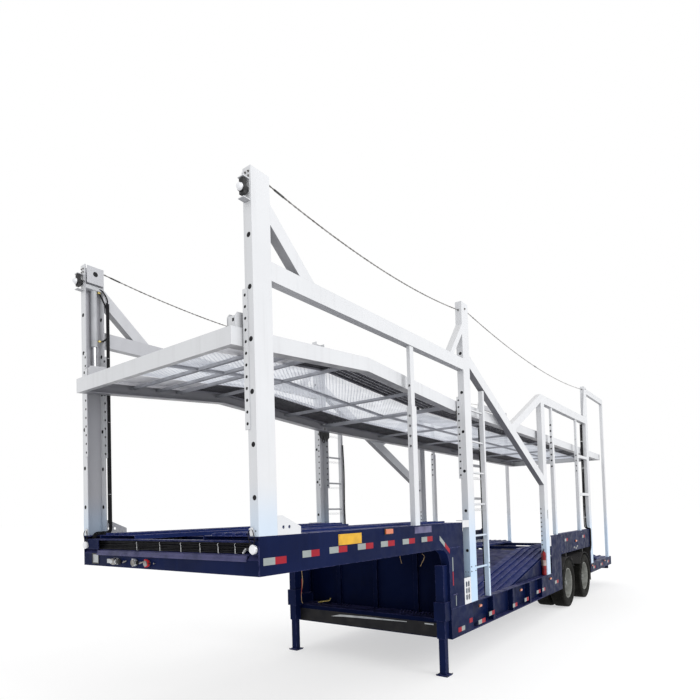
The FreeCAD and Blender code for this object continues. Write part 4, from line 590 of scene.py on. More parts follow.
def curve_through(points, steps=8):
    """A smooth route through given points."""
    points = [Vector(point) for point in points]
    route = []
    for index in range(len(points) - 1):
        before = points[max(index - 1, 0)]
        start, end = points[index], points[index + 1]
        after = points[min(index + 2, len(points) - 1)]
        for step in range(steps):
            t = step / steps
            route.append(0.5 * (2 * start + (end - before) * t
                                + (2 * before - 5 * start + 4 * end - after) * t ** 2
                                + (3 * start - before - 3 * end + after) * t ** 3))
    return route + [points[-1]]


def curve_by(places, side=1):
    """A smooth route through (station, Y, height) places, on their own side or on the other one."""
    return curve_through([(at(station), side * y, height) for station, y, height in places])


def height_on(line, station):
    """The height of a line of (station, height) at a station."""
    for (start, low), (end, high) in zip(line, line[1:]):
        if station <= end or (end, high) == line[-1]:
            return low + (high - low) * (station - start) / (end - start)


def part_of(line, start, end):
    """The stretch of a line between two stations."""
    inside = [point for point in line if start < point[0] < end]
    return [(start, height_on(line, start))] + inside + [(end, height_on(line, end))]


def rounded_route(corners, bends):
    """A route of straight runs whose inner corners are rounded, each to its own radius."""
    corners = [Vector(corner) for corner in corners]
    route = [corners[0]]
    for before, corner, after, bend in zip(corners, corners[1:], corners[2:], bends):
        back = (before - corner).normalized()
        ahead = (after - corner).normalized()
        half = back.angle(ahead) / 2
        start, end = corner + back * bend / math.tan(half), corner + ahead * bend / math.tan(half)
        centre = corner + (back + ahead).normalized() * bend / math.sin(half)
        for step in range(BEND_STEPS + 1):
            out = (start - centre).slerp(end - centre, step / BEND_STEPS)
            route.append(centre + out.normalized() * bend)
    return route + [corners[-1]]


# ---------------- guard wires

WIRE_RADIUS = 0.007
WIRE_Y = SIDE_Y - 0.043
WIRE_STEPS = 90
WIRE_LAY = 0.12  # length in which a strand winds round once
STRAND_RADIUS = WIRE_RADIUS * 0.62
CLIP_STEPS = (0.055, 0.085, 0.115)  # beyond the wire's ends, so the clips lie in the posts' tops
TURNBUCKLE_HALF = 0.05
WIRE_RUNS = (
    # stations of both ends, their height, sag, turnbuckle's distance from the front end
    (0.2, 3.728, 4.53, 0.11, 0.16),
    (3.928, 10.29, 4.585, 0.16, 2.95),
)


def make_wires():
    """The guard wires between the post tops, two strands laid together, with their fittings."""
    wires, fittings = Shape(), Shape()
    for side, (front, rear, height, sag, buckle) in product(SIDES, WIRE_RUNS):
        length = rear - front
        route = []
        for step in range(WIRE_STEPS + 1):
            share = step / WIRE_STEPS
            drop = 4 * sag * share * (1 - share)
            route.append(Vector((at(front + length * share), side * WIRE_Y, height - drop)))
        for offset in (0.5, -0.5):
            wires.tube(route, STRAND_RADIUS, 6, WIRE_RADIUS * offset, length / WIRE_LAY)
        for place, way in ((route[0], -1), (route[-1], 1)):
            fittings.torus(place - Vector((way * 0.012, 0, 0)), LEFT, 0.017, 0.005)
            fittings.pin(place, (way * 0.01, 0, 0), 0.009)
            for step in CLIP_STEPS:
                fittings.pin(place - Vector((way * step, 0, 0)), (0.007, 0, 0), 0.016, 12)
        index = round(buckle / length * WIRE_STEPS)
        middle = route[index]
        way = (route[index + 1] - middle).normalized()
        fittings.pin(middle, way * TURNBUCKLE_HALF, 0.0085, 12)
        for half in (way, -way):
            fittings.nut(middle + half * TURNBUCKLE_HALF, half, 0.01, 0.014)
    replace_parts(wires.piece("guard_wire_strands", "bare_steel", "steel", smooth=True), "guard_wires")
    fittings.piece("guard_wire_fittings", "bare_steel", "dark_steel", smooth=True)


# ---------------- upper decks

DECKS = {
    # body: tops of the folded sheet as (station, height)
    "front_deck": ((-0.06, 3.345), (1.7, 3.49), (3.798, 3.35)),
    "rear_deck": ((3.858, 3.36), (12.17, 3.2508)),
}
DECK_MEMBERS = {
    # body: stations of the cross bars' front edges
    "front_deck": (0.4667, 0.79, 1.0533, 1.64, 2.9, 3.738),
    "rear_deck": [3.858 + 1.5113 * index for index in range(6)],
}
TRACK_IN, TRACK_OUT = 0.56, 1.03
TRACK_PLATE = 0.005
TRACK_FOLD = 0.035
SLOT_LANDS = 8
SLOT_WIDTH = 0.027
SLOT_PITCH = 0.14
SLOT_LENGTH = 0.105
MESH_CELL = (0.06, 0.0235)
MESH_STRAND = (0.0058, 0.004)
MESH_EDGE = 0.01
BAR_DEPTH = 0.03
PLAIN_END = 1.17  # station where the front deck's tracks begin to be slotted
MEMBER_WIDTH, MEMBER_PLATE, MEMBER_DEPTH = 0.045, 0.004, 0.028
MEMBER_REACH = TRACK_OUT + 0.092


def add_folds(shape, line):
    """The turned-down edges along both sides of a wheel track."""
    for low in (TRACK_IN, TRACK_OUT - TRACK_PLATE):
        shape.strip(line, -TRACK_PLATE, -TRACK_FOLD, (low, low + TRACK_PLATE))


def make_plain_tracks(line):
    """The front deck's forward part, which has no slots."""
    plain = Shape()
    stretch = part_of(line, line[0][0], PLAIN_END)
    plain.strip(stretch, 0, -TRACK_PLATE, (TRACK_IN, TRACK_OUT))
    add_folds(plain, stretch)
    plain.strip(part_of(line, PLAIN_END - 0.006, PLAIN_END), -TRACK_PLATE, -0.6 * TRACK_FOLD,
                (TRACK_IN + TRACK_PLATE, TRACK_OUT - TRACK_PLATE))
    plain.pair("front_deck_plain_tracks", "deck_sheet", "deck_silver", "front_deck")


def make_deck_tracks():
    """Each deck's wheel tracks: sheet with rows of long slots, turned-down lips and folded edges."""
    land = (TRACK_OUT - TRACK_IN - (SLOT_LANDS - 1) * SLOT_WIDTH) / SLOT_LANDS
    for body, line in DECKS.items():
        if body == "front_deck":
            make_plain_tracks(line)
            line = part_of(line, PLAIN_END, line[-1][0])
        start, end = line[0][0], line[-1][0]
        track, lips, lands = Shape(), Shape(), Shape()
        lows = [TRACK_IN + index * (land + SLOT_WIDTH) for index in range(SLOT_LANDS)]
        for low in lows:
            track.strip(line, 0, -TRACK_PLATE, (low, low + land))
            for lip in (low, low + land - TRACK_PLATE):
                lips.strip(line, -TRACK_PLATE, -3 * TRACK_PLATE, (lip, lip + TRACK_PLATE))
        add_folds(track, line)
        for step in range(int((end - start) / SLOT_PITCH) + 1):
            first = start + step * SLOT_PITCH
            bridge = part_of(line, first, min(first + SLOT_PITCH - SLOT_LENGTH, end))
            for low in lows[:-1]:
                lands.strip(bridge, -0.0004, -TRACK_PLATE + 0.0004, (low + land, low + land + SLOT_WIDTH))
        # The lips are painted dark: painted shade inside the slots.
        lips.pair(f"{body}_track_lips", "deck_sheet", "slot_dark", body)
        lands.pair(f"{body}_track_lands", "deck_sheet", "deck_silver", body)
        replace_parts(track.pair(f"{body}_slotted_tracks", "deck_sheet", "deck_sheet", body),
                    f"{body}_tracks")


def make_deck_mesh():
    """Each deck's middle: expanded mesh on a thin long bar between the tracks."""
    long_cell, wide_cell = MESH_CELL
    strand, thickness = MESH_STRAND
    rows = round(2 * TRACK_IN / wide_cell)
    pitch = 2 * (TRACK_IN - MESH_EDGE) / rows
    for body, line in DECKS.items():
        start, end = line[0][0], line[-1][0]
        count = 2 * round((end - start) / long_cell)
        stations = [start + (end - start) * step / count for step in range(count + 1)]
        heights = [height_on(line, station) - TRACK_FOLD + thickness / 2 for station in stations]
        mesh, bars = Shape(), Shape()
        for row in range(rows):
            middle = -TRACK_IN + MESH_EDGE + (row + 0.5) * pitch
            swing = (pitch - strand) / 2 * (1 if row % 2 else -1)
            route = [(at(station), middle + swing * (-1) ** step, height)
                     for step, (station, height) in enumerate(zip(stations, heights))]
            mesh.ribbon(route, strand, thickness)
        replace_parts(mesh.piece(f"{body}_expanded_mesh", "deck_mesh", "mesh", body), f"{body}_mesh")
        bars.strip(line, -TRACK_FOLD, -TRACK_FOLD - BAR_DEPTH, (-0.003, 0.003))
        bars.strip(line, -TRACK_FOLD, -TRACK_FOLD - 0.005, (-0.022, 0.022))
        bars.piece(f"{body}_long_bar", "deck_mesh", "deck_bar", body)


def make_deck_members():
    """The decks' cross bars: light folded channels, open below, from one side beam to the other."""
    across = (-MEMBER_REACH, MEMBER_REACH)
    web = -TRACK_FOLD - MEMBER_PLATE
    for body, stations in DECK_MEMBERS.items():
        line = DECKS[body]
        bars = Shape()
        for station in stations:
            rear = min(station + MEMBER_WIDTH, line[-1][0])
            bars.strip(part_of(line, station, rear), -TRACK_FOLD, web, across)
            for start in (station, rear - MEMBER_PLATE):
                flange = part_of(line, start, start + MEMBER_PLATE)
                bars.strip(flange, web, -TRACK_FOLD - MEMBER_DEPTH, across)
        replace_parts(bars.piece(f"{body}_cross_bars", "deck_sheet", "deck_bar", body),
                    f"{body}_cross_members")


# ---------------- wheels

TYRE_RADIUS = 0.46
TYRE_HALF = 0.1275
RIM_RADIUS = 0.286
TYRE_CAGE = (
    # share of the half width, radius of the rubber from the bead to under the tread
    (0.7, RIM_RADIUS - 0.004), (0.8, RIM_RADIUS + 0.004), (0.86, 0.3), (0.9, 0.31), (0.96, 0.33),
    (0.995, 0.352), (1.0, 0.375), (0.985, 0.4), (0.96, 0.42), (0.945, 0.424), (0.94, 0.436),
    (0.9, 0.444), (0.84, 0.45), (0.6, 0.4495), (0.585, 0.449),
)
TYRE_RINGS = (
    # share of the half width, radius and thickness of the ridges on the side
    (0.975, 0.338, 0.003), (0.99, 0.395, 0.0035),
)
TREAD_RIBS = (
    # middle of the rib and its width, as shares of the half width
    (-0.72, 0.3), (-0.345, 0.27), (0.0, 0.24), (0.345, 0.27), (0.72, 0.3),
)
TREAD_BLOCKS = 54
TREAD_FLOOR = 0.448
SHOULDER_FILL, RIB_FILL = 0.74, 0.88  # share of a block in its pitch
RIB_SKEW = 0.012
SHOULDER_EDGE, SHOULDER_DROP = 0.8, 0.004  # where the outer edges begin and how much lower they lie
DISC_PLATE = 0.016
RIM_LIP = 0.098  # from the tyre's middle to the rim's rolled edge
HUB_REACH = 0.164  # from the disc to the hub's outer face
HUB_CAP = (
    # distance from the hub's face and radius
    (0.0, 0.0), (0.0, 0.098), (0.012, 0.098), (0.014, 0.052), (0.036, 0.048), (0.044, 0.04), (0.047, 0.0),
)
NUT_COUNT, NUT_RING = 10, 0.15
HUB_BOLT_COUNT, HUB_BOLT_RING = 8, 0.062
WHEEL_ENDS = ("front_left", "front_right", "rear_left", "rear_right")


def tyre_middles(name):
    """The axle's X and height, the side and the two tyres' middles across, outer tyre first."""
    low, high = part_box(f"{name}_tyres")
    side = 1 if high.y > 0 else -1
    outer = max(abs(low.y), abs(high.y)) - TYRE_HALF
    inner = min(abs(low.y), abs(high.y)) + TYRE_HALF
    return (low.x + high.x) / 2, (low.z + high.z) / 2, side, (outer, inner)


def add_tread(shape, place):
    """Rows of tread blocks with narrow cuts between them, the shoulder rows deeper cut."""
    x, y, z = place
    for row, (share, width) in enumerate(TREAD_RIBS):
        shoulder = row in (0, len(TREAD_RIBS) - 1)
        fill = SHOULDER_FILL if shoulder else RIB_FILL
        skew = 0.0 if shoulder else RIB_SKEW * (-1) ** row
        edges = ((share - width / 2, -skew), (share + width / 2, skew))
        for block in range(TREAD_BLOCKS):
            start = math.tau * (block + 0.25 * row) / TREAD_BLOCKS
            angles = (start, start + math.tau / TREAD_BLOCKS * fill)
            corners = []
            for radius, angle, (edge, shift) in product((TREAD_FLOOR, TYRE_RADIUS - 0.0005), angles, edges):
                turn = angle + shift
                out = radius if abs(edge) < SHOULDER_EDGE else radius - SHOULDER_DROP
                corners.append((x + out * math.cos(turn), y + edge * TYRE_HALF, z + out * math.sin(turn)))
            shape.solid(corners, BLOCK_FACES)


def make_tyres():
    """Tyres with moulded sides and a blocked tread, two on each wheel end."""
    half = [(share * TYRE_HALF, radius) for share, radius in TYRE_CAGE]
    profile = half + [(-along, radius) for along, radius in reversed(half)]
    for name in WHEEL_ENDS:
        x, z, side, middles = tyre_middles(name)
        tyres = Shape()
        for middle in middles:
            y = side * middle
            tyres.lathe(profile, (x, y, z), LEFT, 64)
            add_tread(tyres, (x, y, z))
            for share, radius, thickness in TYRE_RINGS:
                for reach in (-share * TYRE_HALF * 0.99, share * TYRE_HALF * 0.99):
                    tyres.torus((x, y + reach, z), LEFT, radius, thickness, 64, 6)
        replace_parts(tyres.piece(f"tyres_{name}", "tyre_rubber", "tyre", f"wheels_{name}", smooth=True),
                    f"{name}_tyres")


def make_rims():
    """The hub's cap, the wheel nuts and the rolled lips of each pair of rims."""
    for name in WHEEL_ENDS:
        body = f"wheels_{name}"
        x, z, side, (outer, inner) = tyre_middles(name)
        disc = (outer + inner) / 2 + DISC_PLATE
        lips, hub, nuts = Shape(), Shape(), Shape()
        for middle in (outer, inner):
            for reach in (-RIM_LIP, RIM_LIP):
                lips.torus((x, side * middle + reach, z), LEFT, RIM_RADIUS - 0.006, 0.007, 64, 8)
        lips.piece(f"rim_lips_{name}", "rim_paint", "rim", body, smooth=True)
        face = side * (disc + HUB_REACH)
        hub.lathe([(side * along, radius) for along, radius in HUB_CAP], (x, face, z), LEFT, 40)
        hub.piece(f"hub_cap_{name}", "rim_paint", "hub", body, smooth=True)
        axes = (Vector(AHEAD), Vector(UP))
        for index in range(NUT_COUNT):
            out = around(axes, (index + 0.5) / NUT_COUNT) * NUT_RING
            nuts.nut(out + Vector((x, side * disc, z)), (0, side, 0), 0.02, 0.026)
        for index in range(HUB_BOLT_COUNT):
            foot = around(axes, index / HUB_BOLT_COUNT) * HUB_BOLT_RING + Vector((x, face + side * 0.012, z))
            nuts.rod(foot, foot + Vector((0, side * 0.009, 0)), 0.009, 6)
        nuts.piece(f"wheel_nuts_{name}", "rim_paint", "steel", body)


# ---------------- markings and lamps

TAPE_PROUD = 0.0016
TAPE_WIDTH = 0.055
TAPE_BACK = SIDE_Y - 0.001
TAPE_PAIRS = (
    # station, length of each half, lower edge; the front half is white, the rear half red
    (0.04, 0.125, 1.568), (0.48, 0.1075, 1.592), (0.83, 0.1275, 1.598), (1.25, 0.1275, 1.6),
    (1.64, 0.1275, 1.6), (2.055, 0.1275, 1.6), (2.46, 0.1275, 1.6),
    (3.92, 0.115, 0.45), (4.29, 0.095, 0.5), (5.21, 0.095, 0.47), (5.74, 0.095, 0.48),
    (6.35, 0.1, 0.52), (7.42, 0.11, 0.56), (8.18, 0.11, 1.28), (9.56, 0.11, 1.28),
    (10.45, 0.11, 0.54), (11.2, 0.11, 0.54), (11.95, 0.11, 0.54),
)
LONE_TAPES = (
    # finish, station, length, lower edge, upper edge
    ("tape_white", 3.205, 0.022, 1.21, 1.377), ("tape_red", 3.205, 0.022, 1.04, 1.205),
    ("tape_white", 3.272, 0.016, 0.79, 0.914), ("tape_red", 3.31, 0.095, 0.465, 0.52),
    ("tape_white", 3.405, 0.095, 0.465, 0.52), ("tape_red", 3.64, 0.095, 0.52, 0.575),
    ("tape_white", 6.66, 0.1, 0.52, 0.575), ("tape_red", 6.76, 0.06, 0.52, 0.575),
)
CORNER_TAPE = ((2.893, 1.622), (3.145, 1.454))
SIDE_LAMPS = (
    # station and height of the middle, length, height
    (1.778, 1.747, 0.15, 0.062), (3.975, 0.69, 0.09, 0.045), (5.56, 0.69, 0.09, 0.045),
    (7.12, 0.69, 0.09, 0.045), (8.99, 1.25, 0.11, 0.05), (10.33, 0.625, 0.08, 0.04),
    (11.62, 0.625, 0.08, 0.04),
)
SIDE_PLATES = (
    # piece, finish, stations, heights, how far it stands out, bevel
    ("blank_side_plates", "plate_yellow", (0.96, 1.313), (1.66, 1.756), 0.003, 0.001),
    ("blank_neck_labels", "label_faded", (2.315, 2.7), (1.7, 1.772), 0.0012, 0.0),
    # The ledges take the lit copy of the navy paint, a painted highlight.
    ("column_ledges", "navy_lit", (3.2, 3.3), (0.926, 0.936), 0.01, 0.002),
)
RIVET_INSET = 0.012


def make_tapes():
    """Reflective tapes in blocks of white and red along both sides, and the blank plates."""
    tapes = {"tape_white": Shape(), "tape_red": Shape()}
    face = (TAPE_BACK, SIDE_Y + TAPE_PROUD)
    rows = list(LONE_TAPES)
    for station, length, low in TAPE_PAIRS:
        rows.append(("tape_white", station, length, low, low + TAPE_WIDTH))
        rows.append(("tape_red", station + length, length, low, low + TAPE_WIDTH))
    for finish, station, length, low, high in rows:
        tapes[finish].block((station, station + length), face, (low, high))
    start, end = (Vector(place) for place in CORNER_TAPE)
    middle = (start + end) / 2
    tapes["tape_white"].strip((start, middle), TAPE_WIDTH / 2, -TAPE_WIDTH / 2, face)
    tapes["tape_red"].strip((middle, end), TAPE_WIDTH / 2, -TAPE_WIDTH / 2, face)
    for finish, shape in tapes.items():
        shape.pair(f"side_{finish}", "chassis_paint", finish)
    for name, finish, stations, heights, proud, bevel in SIDE_PLATES:
        plate = Shape().block(stations, (TAPE_BACK, SIDE_Y + proud), heights)
        plate.pair(name, "chassis_paint", finish, bevel=bevel)
    _, _, (front, rear), (low, high), _, _ = SIDE_PLATES[0]
    rivets = Shape()
    for station, height in product((front + RIVET_INSET, rear - RIVET_INSET),
                                   (low + RIVET_INSET, high - RIVET_INSET)):
        rivets.bar(station, (SIDE_Y, SIDE_Y + 0.005), height, 0.004, 10)
    rivets.pair("plate_rivets", "bare_steel", "steel")


BASE_PLATE, LENS_FACE = 0.008, 0.022  # how far a side lamp's base and its lens stand out
LENS_RIM = 0.007


def make_side_lamps():
    """Amber side lamps on black bases."""
    bases, lenses = Shape(), Shape()
    for station, height, length, depth in SIDE_LAMPS:
        front, rear = station - length / 2, station + length / 2
        low, high = height - depth / 2, height + depth / 2
        bases.block((front, rear), (TAPE_BACK, SIDE_Y + BASE_PLATE), (low, high))
        lenses.block((front + BASE_PLATE, rear - BASE_PLATE), (SIDE_Y + LENS_RIM, SIDE_Y + LENS_FACE),
                     (low + LENS_RIM, high - LENS_RIM))
    bases.pair("side_lamp_bases", "lamp_lens", "plastic", bevel=0.002)
    lenses.pair("side_lamp_lenses", "lamp_lens", "amber", bevel=0.005)


TAIL_LAMPS = (
    # finish, distance of the inner edge from the middle, width
    ("amber", 0.86, 0.12), ("lens_red", 0.69, 0.16), ("lens_clear", 0.56, 0.12),
)
UNDERRUN_TAPE = 0.18  # length of each tape on the bar under the tail


def make_tail_lamps():
    """Lamp clusters and reflective tapes on the bar under the tail."""
    low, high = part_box("underrun_bar")
    for finish, inner, width in TAIL_LAMPS:
        lens = Shape().box((low.x - 0.006, inner + 0.006, low.z + 0.016),
                           (low.x + 0.002, inner + width - 0.006, high.z - 0.016))
        lens.pair(f"tail_{finish}", "lamp_lens", finish, bevel=0.004)
    holders = Shape().box((low.x - 0.003, 0.552, low.z + 0.008), (low.x + 0.003, 0.988, high.z - 0.008))
    holders.pair("tail_lamp_holders", "lamp_lens", "plastic", bevel=0.002)
    for index in range(5):
        right = UNDERRUN_TAPE * (index - 2.5)
        tape = Shape().box((low.x - TAPE_PROUD, right, low.z + 0.02),
                           (low.x + 0.001, right + UNDERRUN_TAPE, high.z - 0.02))
        tape.piece(f"underrun_tape_{index + 1}", "chassis_paint", "tape_red" if index % 2 else "tape_white")


DOME = 0.45  # share of a round lamp's length that is domed
LEAD_RADIUS = 0.0035
ROUND_LAMPS = (
    # middle of the lamp's face, radius, length
    ((at(-0.035), 1.2, 1.69), 0.034, 0.035),
    ((at(-0.105), LAMP_Y, LAMP_Z), 0.027, 0.06),
)


def make_marker_lamps():
    """The bezels and the domed lenses of the round lamps at the neck's corners and up on the posts."""
    lenses, bezels = Shape(), Shape()
    for (x, y, z), radius, length in ROUND_LAMPS:
        dome = []
        for angle in (0, 15, 30, 45, 60, 75, 88):
            turn = math.radians(angle)
            dome.append((-length * DOME * (1 - math.sin(turn)), radius * math.cos(turn)))
        profile = [(-length, 0.0), (-length, radius), (-length * DOME, radius)] + dome + [(0.0, 0.0)]
        lenses.lathe(profile, (x, y, z), AHEAD, 32)
        bezels.torus((x - length * 0.55, y, z), AHEAD, radius * 1.02, radius * 0.09, 32)
    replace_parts(lenses.pair("round_lamp_lenses", "lamp_lens", "lens_clear", smooth=True),
                "marker_lamps")
    bezels.pair("round_lamp_bezels", "lamp_lens", "chrome", smooth=True)


def make_foot_clamps():
    """The clamps and the corner lamps' leads at the front posts' feet."""
    foot = NECK_HIGH.z
    clamps = Shape().block((-0.016, 0.0), (1.166, 1.206), (foot + 0.004, foot + 0.066), 14, "X")
    clamps.pair("foot_clamps", "post_paint", "white", bevel=0.006)
    leads = Shape()
    for y in (1.16, 1.214):
        leads.tube(curve_by((
            (-0.01, 1.186, foot + 0.06), (-0.02, y, foot + 0.026), (-0.014, y + 0.004, foot - 0.03),
            (-0.01, 1.196, foot - 0.062))), LEAD_RADIUS, 8)
    leads.pair("corner_lamp_leads", "hose_rubber", "hose", smooth=True)


# ---------------- the neck's front

HOSE_RADIUS = 0.006
HOSE_PITCH = 0.0123
HOSE_Y = -1.142
HOSE_TOP = 4.2
HOSE_POST = 0.2143  # station of the first hose down the post
HOSE_NECK = 1.8159  # its height over the neck's flange
HOSE_FRONT = 0.037  # its station along the front beam
HOSE_LEVEL = 1.66  # its height along the front beam
HOSE_END = 1.05
FOOT_BEND, NOTCH_BEND, CORNER_BEND = 0.03, 0.0546, 0.025
CABLE_ROWS = (
    # station and height of each cable that lies over the hoses
    (0.06, 1.7), (0.064, 1.715), (0.058, 1.73), (0.066, 1.743),
)
CABLE_START, CABLE_STEP = -1.125, 0.225
CABLE_RADIUS = 0.0078
TIE_PLACES = (-0.359, -0.005, 0.292, 0.543, 0.765, 0.962)
TIE_WIRE = 0.0022
TIE_PLATE = 0.003
WRAP_Y = -1.1535  # the wrap stands clear of the deck that moves past it
WRAP_RADIUS = 0.019
WRAP_FOOT, WRAP_STEP, WRAP_COUNT = 1.9, 0.025, 62


def make_hoses():
    """The bundle of hoses down the far post and along the neck's front, held by light ties."""
    hoses, ties = Shape(), Shape()
    for index in range(3):
        step = index * HOSE_PITCH
        post, neck = at(HOSE_POST + step), HOSE_NECK - step
        front, level = at(HOSE_FRONT + step), HOSE_LEVEL + step
        corners = ((post, HOSE_Y, HOSE_TOP), (post, HOSE_Y, neck), (front, HOSE_Y, neck),
                   (front, HOSE_Y, level), (front, HOSE_END, level))
        bends = (FOOT_BEND + step, NOTCH_BEND - step, CORNER_BEND)
        hoses.tube(rounded_route(corners, bends), HOSE_RADIUS, 12)
        ties.rod((front, HOSE_END - 0.012, level), (front, HOSE_END + 0.004, level), HOSE_RADIUS * 1.35, 12)
    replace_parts(hoses.piece("front_hose_bundle", "hose_rubber", "hose", smooth=True), "front_hoses")
    cables = Shape()
    for station, level in CABLE_ROWS:
        route = [(at(station), CABLE_START + CABLE_STEP * step, level + random.uniform(-0.003, 0.003))
                 for step in range(11)]
        cables.tube(curve_through(route, 4), CABLE_RADIUS)
    middle = at(HOSE_POST + HOSE_PITCH)
    cables.tube([(middle, WRAP_Y, WRAP_FOOT + WRAP_STEP * step) for step in range(WRAP_COUNT)],
                WRAP_RADIUS, 16)
    cables.piece("hose_wrap_and_cables", "hose_rubber", "hose", smooth=True)
    front, rear = at(HOSE_FRONT - 0.0075), at(HOSE_FRONT + 2 * HOSE_PITCH + 0.0075)
    foot = HOSE_LEVEL - 0.0085
    for y in TIE_PLACES:
        ties.box((rear, y - TIE_PLATE, foot), (front, y + TIE_PLATE, foot + 0.002))
        ties.box((front, y - TIE_PLATE, foot), (front + 0.0015, y + TIE_PLATE, HOSE_LEVEL + 0.03))
        tail = ((front + 0.001, y, HOSE_LEVEL + 0.028), (front + 0.006, y + 0.006, HOSE_LEVEL + 0.044),
                (front + 0.003, y - 0.004, HOSE_LEVEL + 0.058), (front, y + 0.002, HOSE_LEVEL + 0.07))
        ties.tube(curve_through(tail, 6), TIE_WIRE, 8)
    for height in (2.2, 2.95, 3.62):
        ties.torus((middle, WRAP_Y, height), UP, WRAP_RADIUS, TIE_WIRE, 20, 6)
    ties.piece("hose_ties", "hose_rubber", "tie_white")


SOCKET_Y, CAP_Y = -0.706, -0.594
SOCKET_PROFILE = (
    # distance along and radius
    (0, 0), (0, 0.022), (0.008, 0.025), (0.052, 0.025), (0.054, 0.021), (0.112, 0.021), (0.112, 0),
)
CAP_PROFILE = ((0, 0), (0, 0.024), (0.03, 0.024), (0.036, 0.015), (0.036, 0))
HEAD_PROFILE = (
    (0, 0), (0, 0.024), (0.012, 0.024), (0.014, 0.031), (0.034, 0.031), (0.038, 0.024), (0.044, 0.022),
    (0.044, 0),
)
COUPLING_HEADS = (
    # Y, finish, half width of the dark seal
    (-0.32, "socket_grey", 0.014), (-0.125, "head_red", 0.006),
)
# The outline of a strip along the top edge of the front beam that carries a painted highlight.
NOSE_OUTLINE = (
    # station and height
    (0.024, 1.6405), (0.024, 1.648), (-0.01, 1.608), (-0.01, 1.596), (0.002, 1.596), (0.002, 1.6405),
)


def coupling_face():
    """The X of the face that the couplings stand on and the height of their middles."""
    low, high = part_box("couplings")
    return low.x, (low.z + high.z) / 2


def make_couplings():
    """The socket, the two coupling heads and a sloping strip on the neck's front face that carries a painted
    highlight.
    """
    face, height = coupling_face()
    socket = Shape().lathe(SOCKET_PROFILE, (face + 0.024, SOCKET_Y, height), LEFT, 32)
    socket.box((face - 0.001, -0.8, height - 0.02), (face + 0.012, -0.722, height + 0.02))
    socket.box((face - 0.001, -0.69, height - 0.03), (face + 0.01, -0.61, height + 0.03))
    socket.piece("socket_body", "fitting_metal", "socket_grey", smooth=True)
    cap = Shape().lathe(CAP_PROFILE, (face + 0.024, CAP_Y, height), LEFT, 28)
    for index, (y, finish, seal) in enumerate(COUPLING_HEADS, start=1):
        head = Shape().lathe(HEAD_PROFILE, (face, y, height), AHEAD, 32)
        head.box((face + 0.014, y - 0.022, height - 0.034), (face + 0.036, y - 0.004, height + 0.036))
        head.piece(f"coupling_head_{index}", "fitting_metal", finish, smooth=True)
        cap.box((face + 0.01, y + 0.024, height - seal), (face + 0.03, y + 0.034, height + seal))
        cap.rod((face + 0.044, y, height), (face + 0.0445, y, height), seal, 20)
    cap.piece("coupling_seals", "fitting_metal", "plastic", smooth=True)
    # The strip takes the lit copy of the navy paint: a painted highlight.
    nose = Shape().plate(NOSE_OUTLINE, (-1.0, 1.12))
    nose.piece("nose_highlight_strip", "chassis_paint", "navy_lit", bevel=0.002)


MAKER_Y, MAKER_Z = (-1.075, -0.975), (1.52, 1.6)
MAKER_RIM = 0.012
FRONT_STUDS = (
    # Y and radius
    (-0.515, 0.01), (-0.245, 0.01), (-0.04, 0.007),
)


def make_front_fittings():
    """The blank plate in its frame and the studs on the neck's front face."""
    face, height = coupling_face()
    (right, left), (foot, top) = MAKER_Y, MAKER_Z
    plate = Shape().box((face - 0.001, right, foot), (face + 0.003, left, top))
    plate.piece("blank_maker_plate", "bare_steel", "plate_silver")
    bars = Shape()
    ends = (right - MAKER_RIM, left + MAKER_RIM)
    for (start, end), (low, high) in ((ends, (foot - MAKER_RIM, foot)), (ends, (top, top + MAKER_RIM)),
                                      ((ends[0], right), (foot, top)), ((left, ends[1]), (foot, top))):
        bars.box((face - 0.001, start, low), (face + 0.005, end, high))
    bars.piece("maker_plate_frame", "chassis_paint", "plastic")
    studs = Shape()
    for y, radius in FRONT_STUDS:
        studs.rod((face - 0.001, y, height), (face + 0.014, y, height), radius)
    for y in (-0.5, -0.23):
        x = face + 0.01
        studs.rod((x, y - 0.03, height - 0.008), (x, y + 0.03, height + 0.01), 0.006, 12)
    studs.piece("front_fittings", "fitting_metal", "steel", bevel=0.001)


# ---------------- hoses and fittings on the posts

POST_HOSES = (
    # radius, sides, places as (station, distance from the middle, height)
    (0.007, (-1,), (
        (0.2266, 1.142, 4.19), (0.224, 1.146, 4.25), (0.19, 1.158, 4.315), (0.15, 1.172, 4.335),
        (0.11, 1.185, 4.325))),
    (0.008, SIDES, (
        (0.155, 1.18, 4.3), (0.188, 1.166, 4.23), (0.232, 1.158, 4.12), (0.245, 1.158, 3.98),
        (0.236, 1.158, 3.86), (0.19, 1.168, 3.8), (0.15, 1.185, 3.79))),
    (0.01, SIDES, (
        (4.352, 1.17, 3.06), (4.368, 1.168, 2.6), (4.362, 1.172, 2.05), (4.372, 1.168, 1.5),
        (4.366, 1.17, 1.05), (4.37, 1.172, 0.775))),
    (0.016, SIDES, (
        (10.262, 1.172, 3.795), (10.25, 1.172, 3.3), (10.258, 1.172, 2.7), (10.25, 1.172, 2.1),
        (10.256, 1.176, 1.6), (10.262, 1.19, 1.47), (10.262, 1.246, 1.452), (10.262, 1.262, 1.42),
        (10.262, 1.262, 1.25), (10.25, 1.262, 1.08), (10.235, 1.25, 0.96))),
    (0.011, SIDES, (
        (10.236, 1.15, 3.795), (10.226, 1.15, 3.2), (10.232, 1.15, 2.6), (10.226, 1.15, 2.0),
        (10.232, 1.152, 1.56), (10.234, 1.17, 1.475), (10.236, 1.24, 1.456), (10.236, 1.264, 1.42),
        (10.236, 1.264, 1.25), (10.225, 1.262, 1.1), (10.214, 1.25, 0.985))),
)
LAMP_LEAD = ((-0.055, 1.212, 4.366), (-0.03, 1.19, 4.38), (-0.004, 1.172, 4.372), (0.02, 1.168, 4.35))


